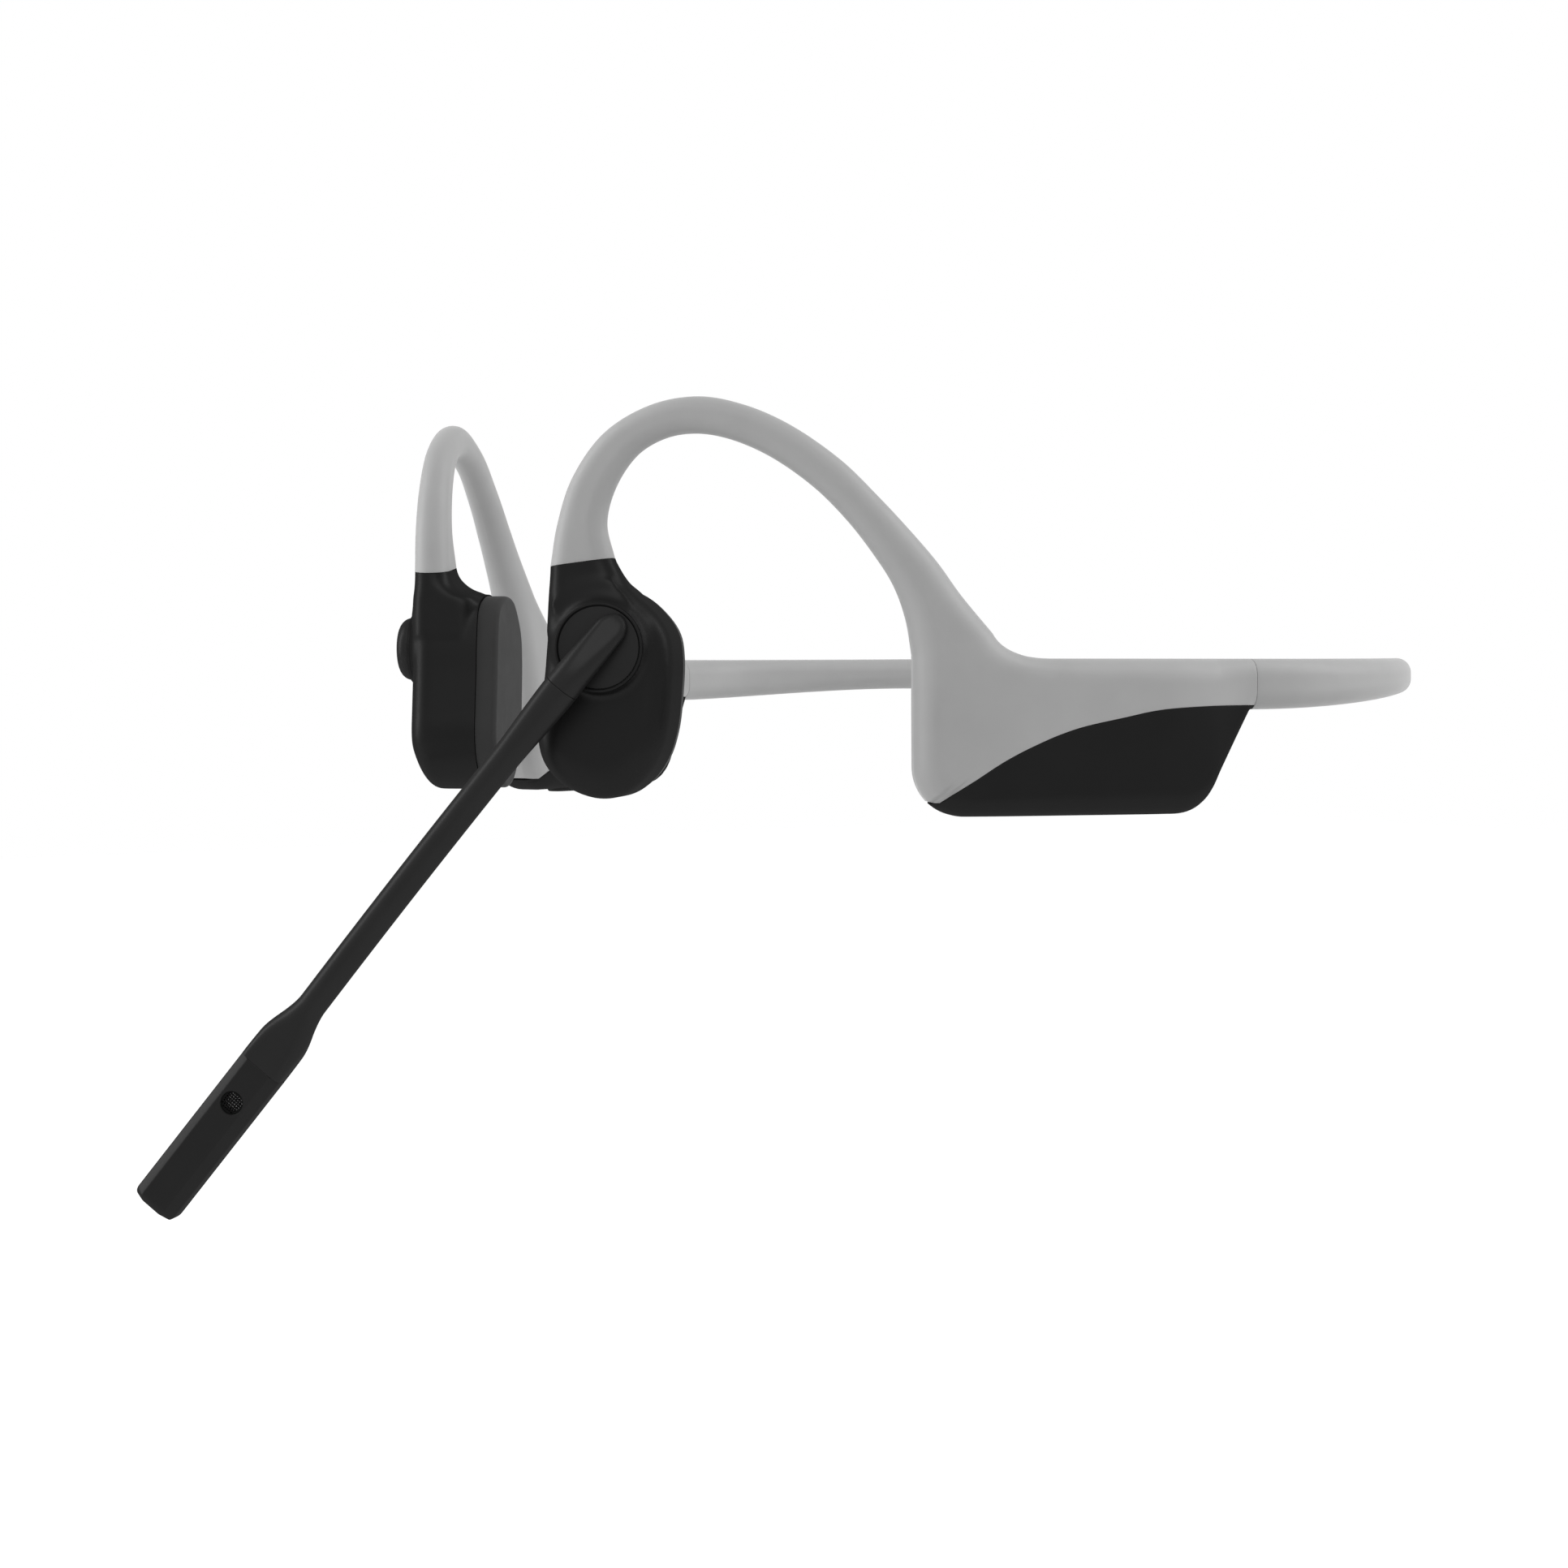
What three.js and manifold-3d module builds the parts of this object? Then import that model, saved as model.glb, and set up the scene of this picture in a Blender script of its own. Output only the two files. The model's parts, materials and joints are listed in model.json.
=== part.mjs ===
// Bone conduction headphones with a boom microphone, in millimetres and degrees.
// +X is the wearer's left, +Y the wearer's back and +Z up. The origin lies on the midplane,
// level with the undersides of the two ear hooks, where they rest on the ears.
import * as THREE from 'three';
import { mergeVertices } from 'three/addons/utils/BufferGeometryUtils.js';
import Module from 'manifold-3d';

const wasm = await Module();
wasm.setup();

// Layout of the frame, seen from above
const crownHalfSpacing = 31.75; // midplane to the top of each ear hook
const hookToeIn = 46;           // between a hook's plane and the fore-aft direction
const boxToeIn = 20;            // between a side box and the fore-aft direction
const foldLength = 30;          // length of arm that turns from one to the other
const neckbandDepth = 128.8;    // hook crowns to the middle of the band behind the neck
const neckbandSideHandle = 30;  // how far the band keeps the boxes' direction
const neckbandBackHandle = 45;  // how far it runs straight across behind the neck
const neckbandRise = 1;         // the band's middle lies this much above its ends

// Running clearances and cutters
const gap = 0.3;                // between two pieces that seat on each other
const overrun = 1;              // how far a cutter passes through what it cuts

// Ear hook sleeve
const hookWidth = 4.9;          // across the sleeve in the hook's plane, at the crown
const hookThickness = 5;        // across the sleeve, square to the hook's plane
const seamInset = 1.1;          // the hook's foot lies this much closer to the head
const wireRadius = 0.8;         // spring wire inside hook and band
const wireAnchor = 4;           // length of wire that is held inside a box or pod

// Side boxes
const boxFront = 28.3;          // crown to the box's front edge, along the arm
const boxLength = 47.2;
const boxHeight = 20.65;
const boxThickness = 9;
const boxTopDrop = 29.45;       // ear seat down to the box's top edge
const boxWall = 1.3;
const boxEdgeRadius = 3.2;
const boxFrontRadius = 6.5;
const boxRearRadius = 4;
const boxRearLean = 9.7;        // the bottom ends this much ahead of the joint
const boxRearStep = 0.5;        // small ledge under the joint
const boxTopSweep = 8;          // length of the sweep from the rear leg into the top edge
const coverFrontRise = 1.9;     // the cover's seam starts this high on the front corner

// Neckband
const jointHeight = 6.8;
const jointThickness = 4.8;
const neckbandHeight = 5.1;
const neckbandThickness = 4.2;
const leadRadius = 0.5;         // signal lead beside the wire

// Pods at the cheekbones
const podWidth = 17.65;
const podHeight = 27.9;
const podCentreReach = 12.575;  // hook crown forward to the pod's middle
const podBottomDrop = 48.1;
const podFaceOut = 1.7;         // outer face, measured from the hook's plane
const podPadSeamIn = 8.1;       // joint of shell and pad, on the head's side of that plane
const podPadDepth = 3;
const podFaceRadius = 3.2;
const podFootRadius = 5.4;      // the same edge at the pod's bottom
const podWall = 1.3;
const podPadInset = 0.5;        // pad edge stands back from the shell edge
const podPadEdge = 0.7;

// Round seats on the pods' outer faces, inside low collars
const seatDrop = 28;            // ear seat down to the centre of hub and button
const seatReach = 12.7;         // hook crown forward to that centre
const hubRadius = 5.4;
const collarWidth = 0.5;
const hubCollarRise = 1.9;      // above the pod's outer face
const buttonCollarRise = 1.2;
const saddleRise = 1.9;         // the neck's swelling towards the collar
const hubRise = 0.4;            // hub face above its collar
const seatDepth = 1.5;          // collar top down to the seat's floor

// Boom
const boomAngle = 51.1;         // below the horizontal
const boomLength = 96.4;        // hub centre to tip
const armLength = 6.8;          // hub centre to the seam with the stem
const armTail = 5.2;            // hub centre to the ridge's rounded end
const armHalfWidth = 2.4;
const armHalfThickness = 2.1;
const stemHalfWidth = 1.95;
const stemTaperEnd = 20;
const stemBow = 0.3;            // slight arch of the bendable stem
const coreWireRadius = 0.5;
const headHalfWidth = 3.25;
const headHalfThickness = 2.3;
const headLength = 24.6;
const headBevel = 0.9;
const headWall = 0.8;
const headTipTaper = 0.6;
const headShift = 0.15;         // the housing's middle lies above the stem's line
const flareLength = 11;
const portReach = 6.1;          // head seam to the microphone port
const portRadius = 1.55;
const grilleThickness = 0.5;
const grilleBar = 0.16;
const grillePitch = 0.55;
const capsuleLength = 3.2;
const capsuleWidth = 2.6;
const capsuleHeight = 1;
const micBoardLength = 17;
const micBoardWidth = 4;
const micBoardThickness = 0.6;

// Boom pivot, below the hub
const shaftRadius = 2.6;
const washerThickness = 0.5;
const washerRadius = 4.6;
const clipThickness = 0.6;
const clipRadius = 4.2;
const pinRadius = 1;
const pinHeadRadius = 1.9;
const pinHeadThickness = 0.7;
const pinGrip = 1.6;            // length of pin inside the hub's blind hole above the floor

// Function button on the other pod
const buttonRadius = 4.45;
const buttonFaceRadius = 3.2;   // inside its rounded edge
const buttonProud = 3.1;        // outer face above the pod's outer face
const buttonTravel = 0.5;
const buttonSkirtRadius = 2.6;
const switchBoardRadius = 4.6;
const switchBoardThickness = 0.6;
const switchHeight = 0.9;
const switchRadius = 1.6;
const sealWidth = 0.9;
const sealThickness = 0.4;

// Bone conduction transducers
const frameThickness = 1;
const springThickness = 0.3;
const magnetThickness = 3;
const magnetHalfWidth = 3.7;
const magnetHalfHeight = 5.8;
const transducerForward = 1.1;  // ahead of the pod's middle
const transducerRadius = 2.4;   // outer corners of frame, spring and coil
const coilWidth = 1.3;
const coilThickness = 1.8;

// Battery side. Lengths and places along a box are shares of its length.
const batteryStartShare = 0.254;
const batteryShare = 0.466;
const batteryHeight = 9.5;
const cellRadius = 1.2;
const coilPlateThickness = 0.4;
const coilPlateShare = 0.3;
const coilPlateHeight = 10;
const coilPlateBand = 1.6;
const packBoardShare = 0.25;
const packBoardThickness = 0.8;

// Control side
const boardStartShare = 0.201;
const boardShare = 0.54;
const boardHeight = 11.5;
const boardThickness = 1;
const canShare = 0.23;
const canHeight = 8;
const canThickness = 1.1;
const canStartShare = 0.127;    // from the board's front edge
const volumeMarginShare = 0.0125; // between the front rail and the first button's flange
const volumeShare = 0.16;
const volumeWidth = 3;
const volumePitchShare = 0.212;
const volumeProud = 0.5;
const volumeFlange = 0.6;
const volumeTravel = 0.35;
const volumeSwitchHeight = 1.1;
const volumeSwitchLength = 3.4;
const contactRadius = 1.1;
const contactFlange = 0.5;
const contactStartShare = 0.582; // box front edge to the first charging contact
const contactPitch = 4.6;
const contactRise = 7.2;        // above the box's bottom
const chargeMagnetLength = 1.4;
const chargeMagnetThickness = 1.2;
const ledRadius = 0.6;
const railThickness = 1.6;
const railShare = 0.038;

// Faceting
const cornerSteps = 2;
const tubeSides = 6;
const roundSides = 24;
const smallSides = 12;
const podSides = 28;
const hookRungCount = 24;
const boxRungCount = 19;
const bandRungCount = 15;
const stemRungCount = 18;
const coreRungCount = 13;

const radians = THREE.MathUtils.degToRad;
const { lerp, clamp, smoothstep } = THREE.MathUtils;
const up = new THREE.Vector3(0, 1, 0);
const out = new THREE.Vector3(0, 0, 1);

// Materials
function finish(color, roughness, metalness = 0) {
  return new THREE.MeshStandardMaterial({ color, roughness, metalness });
}
const greySilicone = () => finish(0x9b9b9b, 0.62);
const blackShell = () => finish(0x1f1f1f, 0.5);
const softPad = () => finish(0x333333, 0.75);
const darkTrim = () => finish(0x262626, 0.45);
const springSteel = () => finish(0xa6a8ab, 0.3, 1);
const copper = () => finish(0xb87333, 0.35, 1);
const gold = () => finish(0xd4af61, 0.3, 1);
const magnetGrey = () => finish(0x6d7073, 0.35, 1);
const boardGreen = () => finish(0x1d5a3c, 0.6);
const foil = () => finish(0xb9bcc0, 0.35, 1);
const clearPipe = () => finish(0xd9dde0, 0.2);

// Solids: three.js shapes are cut and joined as manifolds
function bareGeometry(geometry) {
  const plain = geometry.clone();
  plain.deleteAttribute('normal');
  plain.deleteAttribute('uv');
  return mergeVertices(plain);
}

function solidOf(geometry) {
  const merged = bareGeometry(geometry);
  return new wasm.Manifold(new wasm.Mesh({
    numProp: 3,
    vertProperties: new Float32Array(merged.attributes.position.array),
    triVerts: new Uint32Array(merged.index.array),
  }));
}

function geometryOf(solid) {
  const mesh = solid.getMesh();
  const geometry = new THREE.BufferGeometry();
  geometry.setAttribute('position', new THREE.BufferAttribute(mesh.vertProperties, 3));
  geometry.setIndex(new THREE.BufferAttribute(mesh.triVerts, 1));
  return geometry;
}

function combine(base, joined, cut) {
  let solid = solidOf(base);
  for (const piece of joined) solid = solid.add(solidOf(piece));
  for (const piece of cut) solid = solid.subtract(solidOf(piece));
  return geometryOf(solid);
}

function common(first, second) {
  return geometryOf(solidOf(first).intersect(solidOf(second)));
}

// A closed body through rings of points with flat caps, its faces turned outwards
function loft(rings) {
  const count = rings[0].length;
  const positions = rings.flat().flatMap((point) => point.toArray());
  const index = [];
  for (let ring = 0; ring < rings.length - 1; ring += 1) {
    for (let point = 0; point < count; point += 1) {
      const a = ring * count + point;
      const b = ring * count + (point + 1) % count;
      index.push(a, b, b + count, a, b + count, a + count);
    }
  }
  const last = (rings.length - 1) * count;
  for (let point = 1; point < count - 1; point += 1) {
    index.push(0, point + 1, point);
    index.push(last, last + point, last + point + 1);
  }
  const geometry = new THREE.BufferGeometry();
  geometry.setAttribute('position', new THREE.BufferAttribute(new Float32Array(positions), 3));
  geometry.setIndex(index);
  return volumeOf(geometry) < 0 ? flipped(geometry) : geometry;
}

function volumeOf(geometry) {
  const at = geometry.attributes.position;
  const corner = [0, 1, 2].map(() => new THREE.Vector3());
  let total = 0;
  for (let start = 0; start < geometry.index.count; start += 3) {
    corner.forEach((point, i) => point.fromBufferAttribute(at, geometry.index.getX(start + i)));
    total += corner[0].dot(corner[1].clone().cross(corner[2]));
  }
  return total;
}

function flipped(geometry) {
  const turned = geometry.clone();
  const index = turned.index.array;
  for (let start = 0; start < index.length; start += 3) {
    [index[start], index[start + 1]] = [index[start + 1], index[start]];
  }
  return turned;
}

function mirrored(geometry, axis) {
  const scale = { x: [-1, 1, 1], z: [1, 1, -1] }[axis];
  return flipped(bareGeometry(geometry).scale(...scale));
}

// A ring with rounded corners: `half` along a direction, `across` square to the arm's plane
function roundedRing(centre, along, half, across, radius, steps = cornerSteps) {
  const round = Math.min(radius, half, across);
  const ring = [];
  for (let quarter = 0; quarter < 4; quarter += 1) {
    const signAlong = quarter === 0 || quarter === 3 ? 1 : -1;
    const signAcross = quarter < 2 ? 1 : -1;
    for (let step = 0; step <= steps; step += 1) {
      const angle = (quarter + step / steps) * Math.PI / 2;
      ring.push(centre.clone()
        .addScaledVector(along, signAlong * (half - round) + round * Math.cos(angle))
        .addScaledVector(out, signAcross * (across - round) + round * Math.sin(angle)));
    }
  }
  return ring;
}

function circleRing(centre, along, radius, sides = tubeSides) {
  return Array.from({ length: sides }, (unused, side) => {
    const angle = (side / sides) * 2 * Math.PI;
    return centre.clone()
      .addScaledVector(along, radius * Math.cos(angle))
      .addScaledVector(out, radius * Math.sin(angle));
  });
}

// A turned piece about the outward axis: the profile is a list of [radius, height]
function turned(profile, sides = roundSides) {
  const points = profile.map(([radius, height]) => new THREE.Vector2(radius, height));
  return new THREE.LatheGeometry([...points, points[0]], sides).rotateX(Math.PI / 2);
}

function disc(radius, low, high, sides = roundSides) {
  return turned([[0, low], [radius, low], [radius, high], [0, high]], sides);
}

function washer(inner, outer, low, high, sides = roundSides) {
  return turned([[inner, low], [outer, low], [outer, high], [inner, high]], sides);
}

function block(length, height, thickness) {
  return new THREE.BoxGeometry(length, height, thickness);
}

function plate(shape, low, high) {
  const geometry = new THREE.ExtrudeGeometry(shape, {
    depth: high - low, bevelEnabled: false, curveSegments: 3,
  });
  return geometry.translate(0, 0, low);
}

function roundedRectangle(length, height, radius, shape = new THREE.Shape()) {
  const x = length / 2;
  const y = height / 2;
  const quarter = Math.PI / 2;
  shape.moveTo(-x + radius, -y);
  shape.lineTo(x - radius, -y).absarc(x - radius, -y + radius, radius, -quarter, 0, false);
  shape.lineTo(x, y - radius).absarc(x - radius, y - radius, radius, 0, quarter, false);
  shape.lineTo(-x + radius, y).absarc(-x + radius, y - radius, radius, quarter, 2 * quarter, false);
  shape.lineTo(-x, -y + radius);
  shape.absarc(-x + radius, -y + radius, radius, 2 * quarter, 3 * quarter, false);
  return shape;
}

// Plan of the left half: distance along the arm gives a place and a heading.
// A heading of zero runs straight back, and a positive one turns away from the head.
const boxEnd = boxFront + boxLength;
const foldTurn = radians(hookToeIn - boxToeIn);
const foldRadius = foldLength / foldTurn;
const foldStart = boxFront - foldRadius * Math.tan(foldTurn / 2);
const foldEnd = foldStart + foldLength;
const heading = (angle) => new THREE.Vector2(Math.sin(angle), Math.cos(angle));
const hookOrigin = new THREE.Vector2(crownHalfSpacing, 0);
const foldCorner = hookOrigin.clone().addScaledVector(heading(radians(hookToeIn)), boxFront);
const boxOrigin = foldCorner.clone().addScaledVector(
  heading(radians(boxToeIn)),
  foldRadius * Math.tan(foldTurn / 2) - foldEnd,
);
const jointPlace = boxOrigin.clone().addScaledVector(heading(radians(boxToeIn)), boxEnd);
const bandCurve = new THREE.CubicBezierCurve(
  jointPlace,
  jointPlace.clone().addScaledVector(heading(radians(boxToeIn)), neckbandSideHandle),
  new THREE.Vector2(neckbandBackHandle, neckbandDepth),
  new THREE.Vector2(0, neckbandDepth),
);
const bandLength = bandCurve.getLength();
const bandEnd = boxEnd + bandLength;

function plan(along) {
  if (along > boxEnd) {
    const share = Math.min(1, (along - boxEnd) / bandLength);
    const tangent = bandCurve.getTangentAt(share);
    return { place: bandCurve.getPointAt(share), angle: Math.atan2(tangent.x, tangent.y) };
  }
  if (along > foldEnd) {
    const angle = radians(boxToeIn);
    return { place: boxOrigin.clone().addScaledVector(heading(angle), along), angle };
  }
  const start = radians(hookToeIn);
  const straight = Math.min(along, foldStart);
  const place = hookOrigin.clone().addScaledVector(heading(start), straight);
  if (along <= foldStart) return { place, angle: start };
  const turn = (along - foldStart) / foldRadius;
  const chord = 2 * foldRadius * Math.sin(turn / 2);
  place.addScaledVector(heading(start - turn / 2), chord);
  return { place, angle: start - turn };
}

function wrapPoint(point) {
  const { place, angle } = plan(point.x);
  return new THREE.Vector3(
    place.x + point.z * Math.cos(angle),
    place.y - point.z * Math.sin(angle),
    point.y,
  );
}

// Bends a body drawn flat (along the arm, up, outwards) onto the plan
function wrap(geometry) {
  const wrapped = geometry.clone();
  const at = wrapped.attributes.position;
  const point = new THREE.Vector3();
  for (let i = 0; i < at.count; i += 1) {
    wrapPoint(point.fromBufferAttribute(at, i)).toArray(at.array, i * 3);
  }
  return wrapped;
}

// Groups: a pod's and a box's own frames run along the arm, up and outwards
function frameGroup(side, origin, angle) {
  const mirror = side === 'left' ? 1 : -1;
  const group = new THREE.Group();
  const along = new THREE.Vector3(mirror * Math.sin(angle), Math.cos(angle), 0);
  const upward = new THREE.Vector3(0, 0, 1);
  const third = along.clone().cross(upward);
  group.quaternion.setFromRotationMatrix(new THREE.Matrix4().makeBasis(along, upward, third));
  group.position.set(mirror * origin.x, origin.y, 0);
  return group;
}

const headphones = new THREE.Group();
const frames = { left: {}, right: {} };
for (const side of ['left', 'right']) {
  frames[side].pod = frameGroup(side, hookOrigin, radians(hookToeIn));
  frames[side].box = frameGroup(side, boxOrigin, radians(boxToeIn));
  headphones.add(frames[side].pod, frames[side].box);
}

function add(group, name, geometry, material, at = [0, 0, 0]) {
  const mesh = new THREE.Mesh(geometry, material);
  mesh.name = name;
  mesh.position.set(...at);
  group.add(mesh);
}

// Adds a piece drawn for the left side, or its mirror image for the right
function addSide(side, frame, name, geometry, material, at = [0, 0, 0]) {
  const group = frames[side][frame];
  if (side === 'left') add(group, name, geometry, material, at);
  else add(group, name, mirrored(geometry, 'z'), material, [at[0], at[1], -at[2]]);
}

function addArm(side, name, flatGeometry, material) {
  const geometry = wrap(flatGeometry);
  add(headphones, name, side === 'left' ? geometry : mirrored(geometry, 'x'), material);
}

// Ear hook. Each station gives the inner edge as shares of boxFront and boxTopDrop, the width as
// a share of hookWidth, the direction across as a share of a half turn, the thickness as a share
// of hookThickness, how far it has grown to the box's, and its share of seamInset.
const hookStationShares = [
  [-0.407, -0.55, 1.786, 1.04, 1, 0, 1],
  [-0.441, -0.394, 1.367, 1, 0.95, 0, 0.78],
  [-0.396, -0.234, 1.233, 0.931, 0.88, 0, 0.59],
  [-0.286, -0.088, 1.11, 0.821, 0.82, 0, 0.37],
  [-0.148, -0.017, 0.996, 0.642, 0.8, 0, 0.18],
  [-0.007, 0, 1, 0.48, 0.8, 0, 0.05],
  [0.141, -0.024, 0.996, 0.373, 0.82, 0, 0],
  [0.328, -0.1, 1, 0.322, 0.84, 0, 0.16],
  [0.54, -0.241, 1.024, 0.246, 0.9, 0, 0.2],
  [0.693, -0.387, 1.059, 0.189, 0.98, 0.02, 0.12],
  [0.81, -0.53, 1.178, 0.155, 1, 0.08, 0],
  [0.905, -0.672, 1.333, 0.141, 1, 0.22, -0.08],
  [0.965, -0.825, 1.62, 0.117, 1, 0.48, -0.05],
  [0.996, -0.985, 2.2, 0.084, 1, 0.75, 0],
];
const boxTop = -boxTopDrop;
const boxBottom = boxTop - boxHeight;
const jointBottom = boxTop - jointHeight;

function hookRungs() {
  const inner = [];
  const outer = [];
  const section = [];
  for (const [along, down, width, turn, thick, grow, inset] of hookStationShares) {
    const start = new THREE.Vector3(along * boxFront, down * boxTopDrop, 0);
    const reach = width * hookWidth;
    const angle = turn * Math.PI;
    const across = new THREE.Vector3(reach * Math.cos(angle), reach * Math.sin(angle), 0);
    inner.push(start);
    outer.push(start.clone().add(across));
    section.push(new THREE.Vector3(thick * hookThickness, grow, inset));
  }
  const curves = [inner, outer, section].map((points) => new THREE.CatmullRomCurve3(points));
  return Array.from({ length: hookRungCount }, (unused, i) => {
    const share = i / (hookRungCount - 1);
    const [from, to, { x: thin, y: grow, z: inset }] = curves.map((curve) => curve.getPoint(share));
    return { from, to, thickness: lerp(thin, boxThickness, grow), inset };
  });
}

// Side box: its lower edge runs round the front and rear corners, its upper edge sweeps out of
// the rear leg and runs straight back, and rungs join points at equal shares of the two.
const boxGrowShare = 0.12;
const boxTaperShare = 0.66;
const topSweepShare = 0.2;

function boxEdges(start) {
  const corner = new THREE.Vector2(boxFront + boxFrontRadius, boxBottom + boxFrontRadius);
  const rear = boxEnd - boxRearLean + boxRearRadius / 2;
  const ledge = boxEnd - boxRearStep;
  const slope = new THREE.Vector2(ledge - rear, jointBottom - boxBottom).setLength(boxRearRadius);
  const lower = new THREE.Path();
  lower.moveTo(start.from.x, start.from.y);
  lower.lineTo(boxFront, corner.y);
  lower.absarc(corner.x, corner.y, boxFrontRadius, Math.PI, 1.5 * Math.PI, false);
  lower.lineTo(rear - boxRearRadius, boxBottom);
  lower.quadraticCurveTo(rear, boxBottom, rear + slope.x, boxBottom + slope.y);
  lower.lineTo(ledge, jointBottom);
  lower.lineTo(boxEnd, jointBottom);
  const sweepStart = start.to.x;
  const sweepControl = sweepStart + boxTopSweep * topSweepShare;
  const upper = new THREE.Path();
  upper.moveTo(sweepStart, start.to.y);
  upper.quadraticCurveTo(sweepControl, boxTop, sweepStart + boxTopSweep, boxTop);
  upper.lineTo(boxEnd, boxTop);
  return { lower, upper };
}

function boxRungs(start) {
  const { lower, upper } = boxEdges(start);
  return Array.from({ length: boxRungCount }, (unused, i) => {
    const share = (i + 1) / boxRungCount;
    const from = lower.getPointAt(share);
    const to = upper.getPointAt(share);
    const grow = Math.sin(Math.min(1, share / boxGrowShare) * Math.PI / 2);
    const full = lerp(start.thickness, boxThickness, grow);
    return {
      from: new THREE.Vector3(from.x, from.y, 0),
      to: new THREE.Vector3(to.x, to.y, 0),
      thickness: lerp(full, jointThickness, smoothstep(share, boxTaperShare, 1)),
      inset: 0,
    };
  });
}

const hook = hookRungs();
const foot = hook[0];
const hookEnd = hook[hook.length - 1];
const rungs = [...hook, ...boxRungs(hookEnd)];
const rungCentre = ({ from, to, inset }) => from.clone().lerp(to, 0.5)
  .addScaledVector(out, -seamInset * inset);
const rungDirection = ({ from, to }) => to.clone().sub(from).normalize();
const footAxis = rungCentre(foot).sub(rungCentre(hook[1])).normalize();

function armBody() {
  return loft(rungs.map((rung) => roundedRing(
    rungCentre(rung),
    rungDirection(rung),
    rung.from.distanceTo(rung.to) / 2,
    rung.thickness / 2,
    boxEdgeRadius,
  )));
}

// Height of a broken line, given as [along, height] points, at a place along the arm
function heightAt(line, along) {
  const next = line.findIndex(([place], i) => i > 0 && (place >= along || i === line.length - 1));
  const [start, low] = line[next - 1];
  const [end, high] = line[next];
  return lerp(low, high, (along - start) / (end - start));
}

// The hollow inside a box: upright slices between a floor line and a ceiling line
const hollowFront = boxFront + boxWall;
const hollowRear = boxEnd - boxWall - boxRearLean / 2;
const hollowFloor = boxBottom + boxWall;
const hollowHalf = boxThickness / 2 - boxWall;
const hollowTaperShare = 0.75;   // of the box's length, where the hollow begins to narrow
const hollowRearHalf = (jointThickness - boxWall) / 2;

function boxHollow() {
  const floor = [
    [hollowFront, hollowFloor + boxFrontRadius],
    [hollowFront + boxFrontRadius / 3, hollowFloor + boxFrontRadius / 4],
    [hollowFront + boxFrontRadius, hollowFloor],
    [boxEnd - boxRearLean - boxRearRadius / 2, hollowFloor],
    [hollowRear, jointBottom],
  ];
  const ceiling = [
    [hollowFront, boxTop - boxHeight / 3],
    [hookEnd.to.x + boxTopSweep / 2, boxTop - boxWall],
    [hollowRear, boxTop - boxWall],
  ];
  const halves = [
    [hollowFront, hollowHalf],
    [boxFront + hollowTaperShare * boxLength, hollowHalf],
    [hollowRear, hollowRearHalf],
  ];
  const places = [...floor, ceiling[1], [foldEnd], halves[1]]
    .map(([along]) => along).sort((a, b) => a - b);
  return loft(places.map((along) => {
    const low = heightAt(floor, along);
    const high = heightAt(ceiling, along);
    const half = heightAt(halves, along);
    return [[low, half], [high, half], [high, -half], [low, -half]].map(([height, across]) => (
      new THREE.Vector3(along, height, across)));
  }));
}

// Everything under the cover's seam, drawn flat; `drop` opens the seam
const coverSeamShares = [
  [0.09, 0.135], [0.155, 0.233], [0.233, 0.352], [0.32, 0.455], [0.435, 0.553],
  [0.58, 0.625], [0.688, 0.672], [0.841, 0.695], [1, 0.7],
];

function underSeam(drop) {
  const corner = new THREE.Vector2(boxFront, boxBottom + coverFrontRise - drop);
  const points = coverSeamShares.map(([along, rise]) => new THREE.Vector2(
    boxFront + along * boxLength,
    boxBottom + rise * boxHeight - drop,
  ));
  const shape = new THREE.Shape();
  shape.moveTo(corner.x - overrun, corner.y);
  shape.lineTo(corner.x + boxFrontRadius / 2, corner.y);
  shape.splineThru(points);
  shape.lineTo(boxEnd + overrun, points[points.length - 1].y);
  shape.lineTo(boxEnd + overrun, boxBottom - overrun);
  shape.lineTo(corner.x - overrun, boxBottom - overrun);
  return plate(shape, -boxThickness, boxThickness);
}

// Spring wire of a hook, from inside the pod's neck to inside the box
function hookWire(radius, extra) {
  const into = new THREE.Vector3(1, -2, 0).setLength(wireAnchor + 2 * boxWall + extra);
  const start = rungCentre(foot).addScaledVector(footAxis, wireAnchor + extra);
  const end = rungCentre(hookEnd).add(into);
  return loft([
    circleRing(start, rungDirection(foot), radius),
    ...hook.map((rung) => circleRing(rungCentre(rung), rungDirection(rung), radius)),
    circleRing(end, rungDirection(hookEnd), radius),
  ]);
}

// Neckband. Its bore holds the wire above and the signal lead below.
const boreHalfWidth = wireRadius + gap;
const boreHeight = 2 * wireRadius + 2 * leadRadius + 3 * gap;
const bandMiddle = boxTop - jointHeight / 2;
const wireRise = boreHeight / 2 - gap - wireRadius;
const leadRise = leadRadius + gap - boreHeight / 2;
const bandSlimShare = 0.4;
const bandRiseShare = 0.42;

function bandProfile(along) {
  const share = clamp((along - boxEnd) / bandLength, 0, 1);
  const slim = smoothstep(share, 0, bandSlimShare);
  return {
    level: bandMiddle + neckbandRise * smoothstep(share, 0, bandRiseShare),
    height: lerp(jointHeight, neckbandHeight, slim),
    thickness: lerp(jointThickness, neckbandThickness, slim),
  };
}

// Sweeps rings from one box, round the back and into the other box
function bandSweep(startAlong, ringAt) {
  const left = Array.from({ length: bandRungCount }, (unused, i) => {
    const along = lerp(startAlong, bandEnd, i / (bandRungCount - 1));
    return ringAt(along, bandProfile(along)).map(wrapPoint);
  });
  const right = left.slice(0, -1).reverse().map((ring) => ring.map((point) => (
    new THREE.Vector3(-point.x, point.y, point.z))));
  return loft([...left, ...right]);
}

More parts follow.
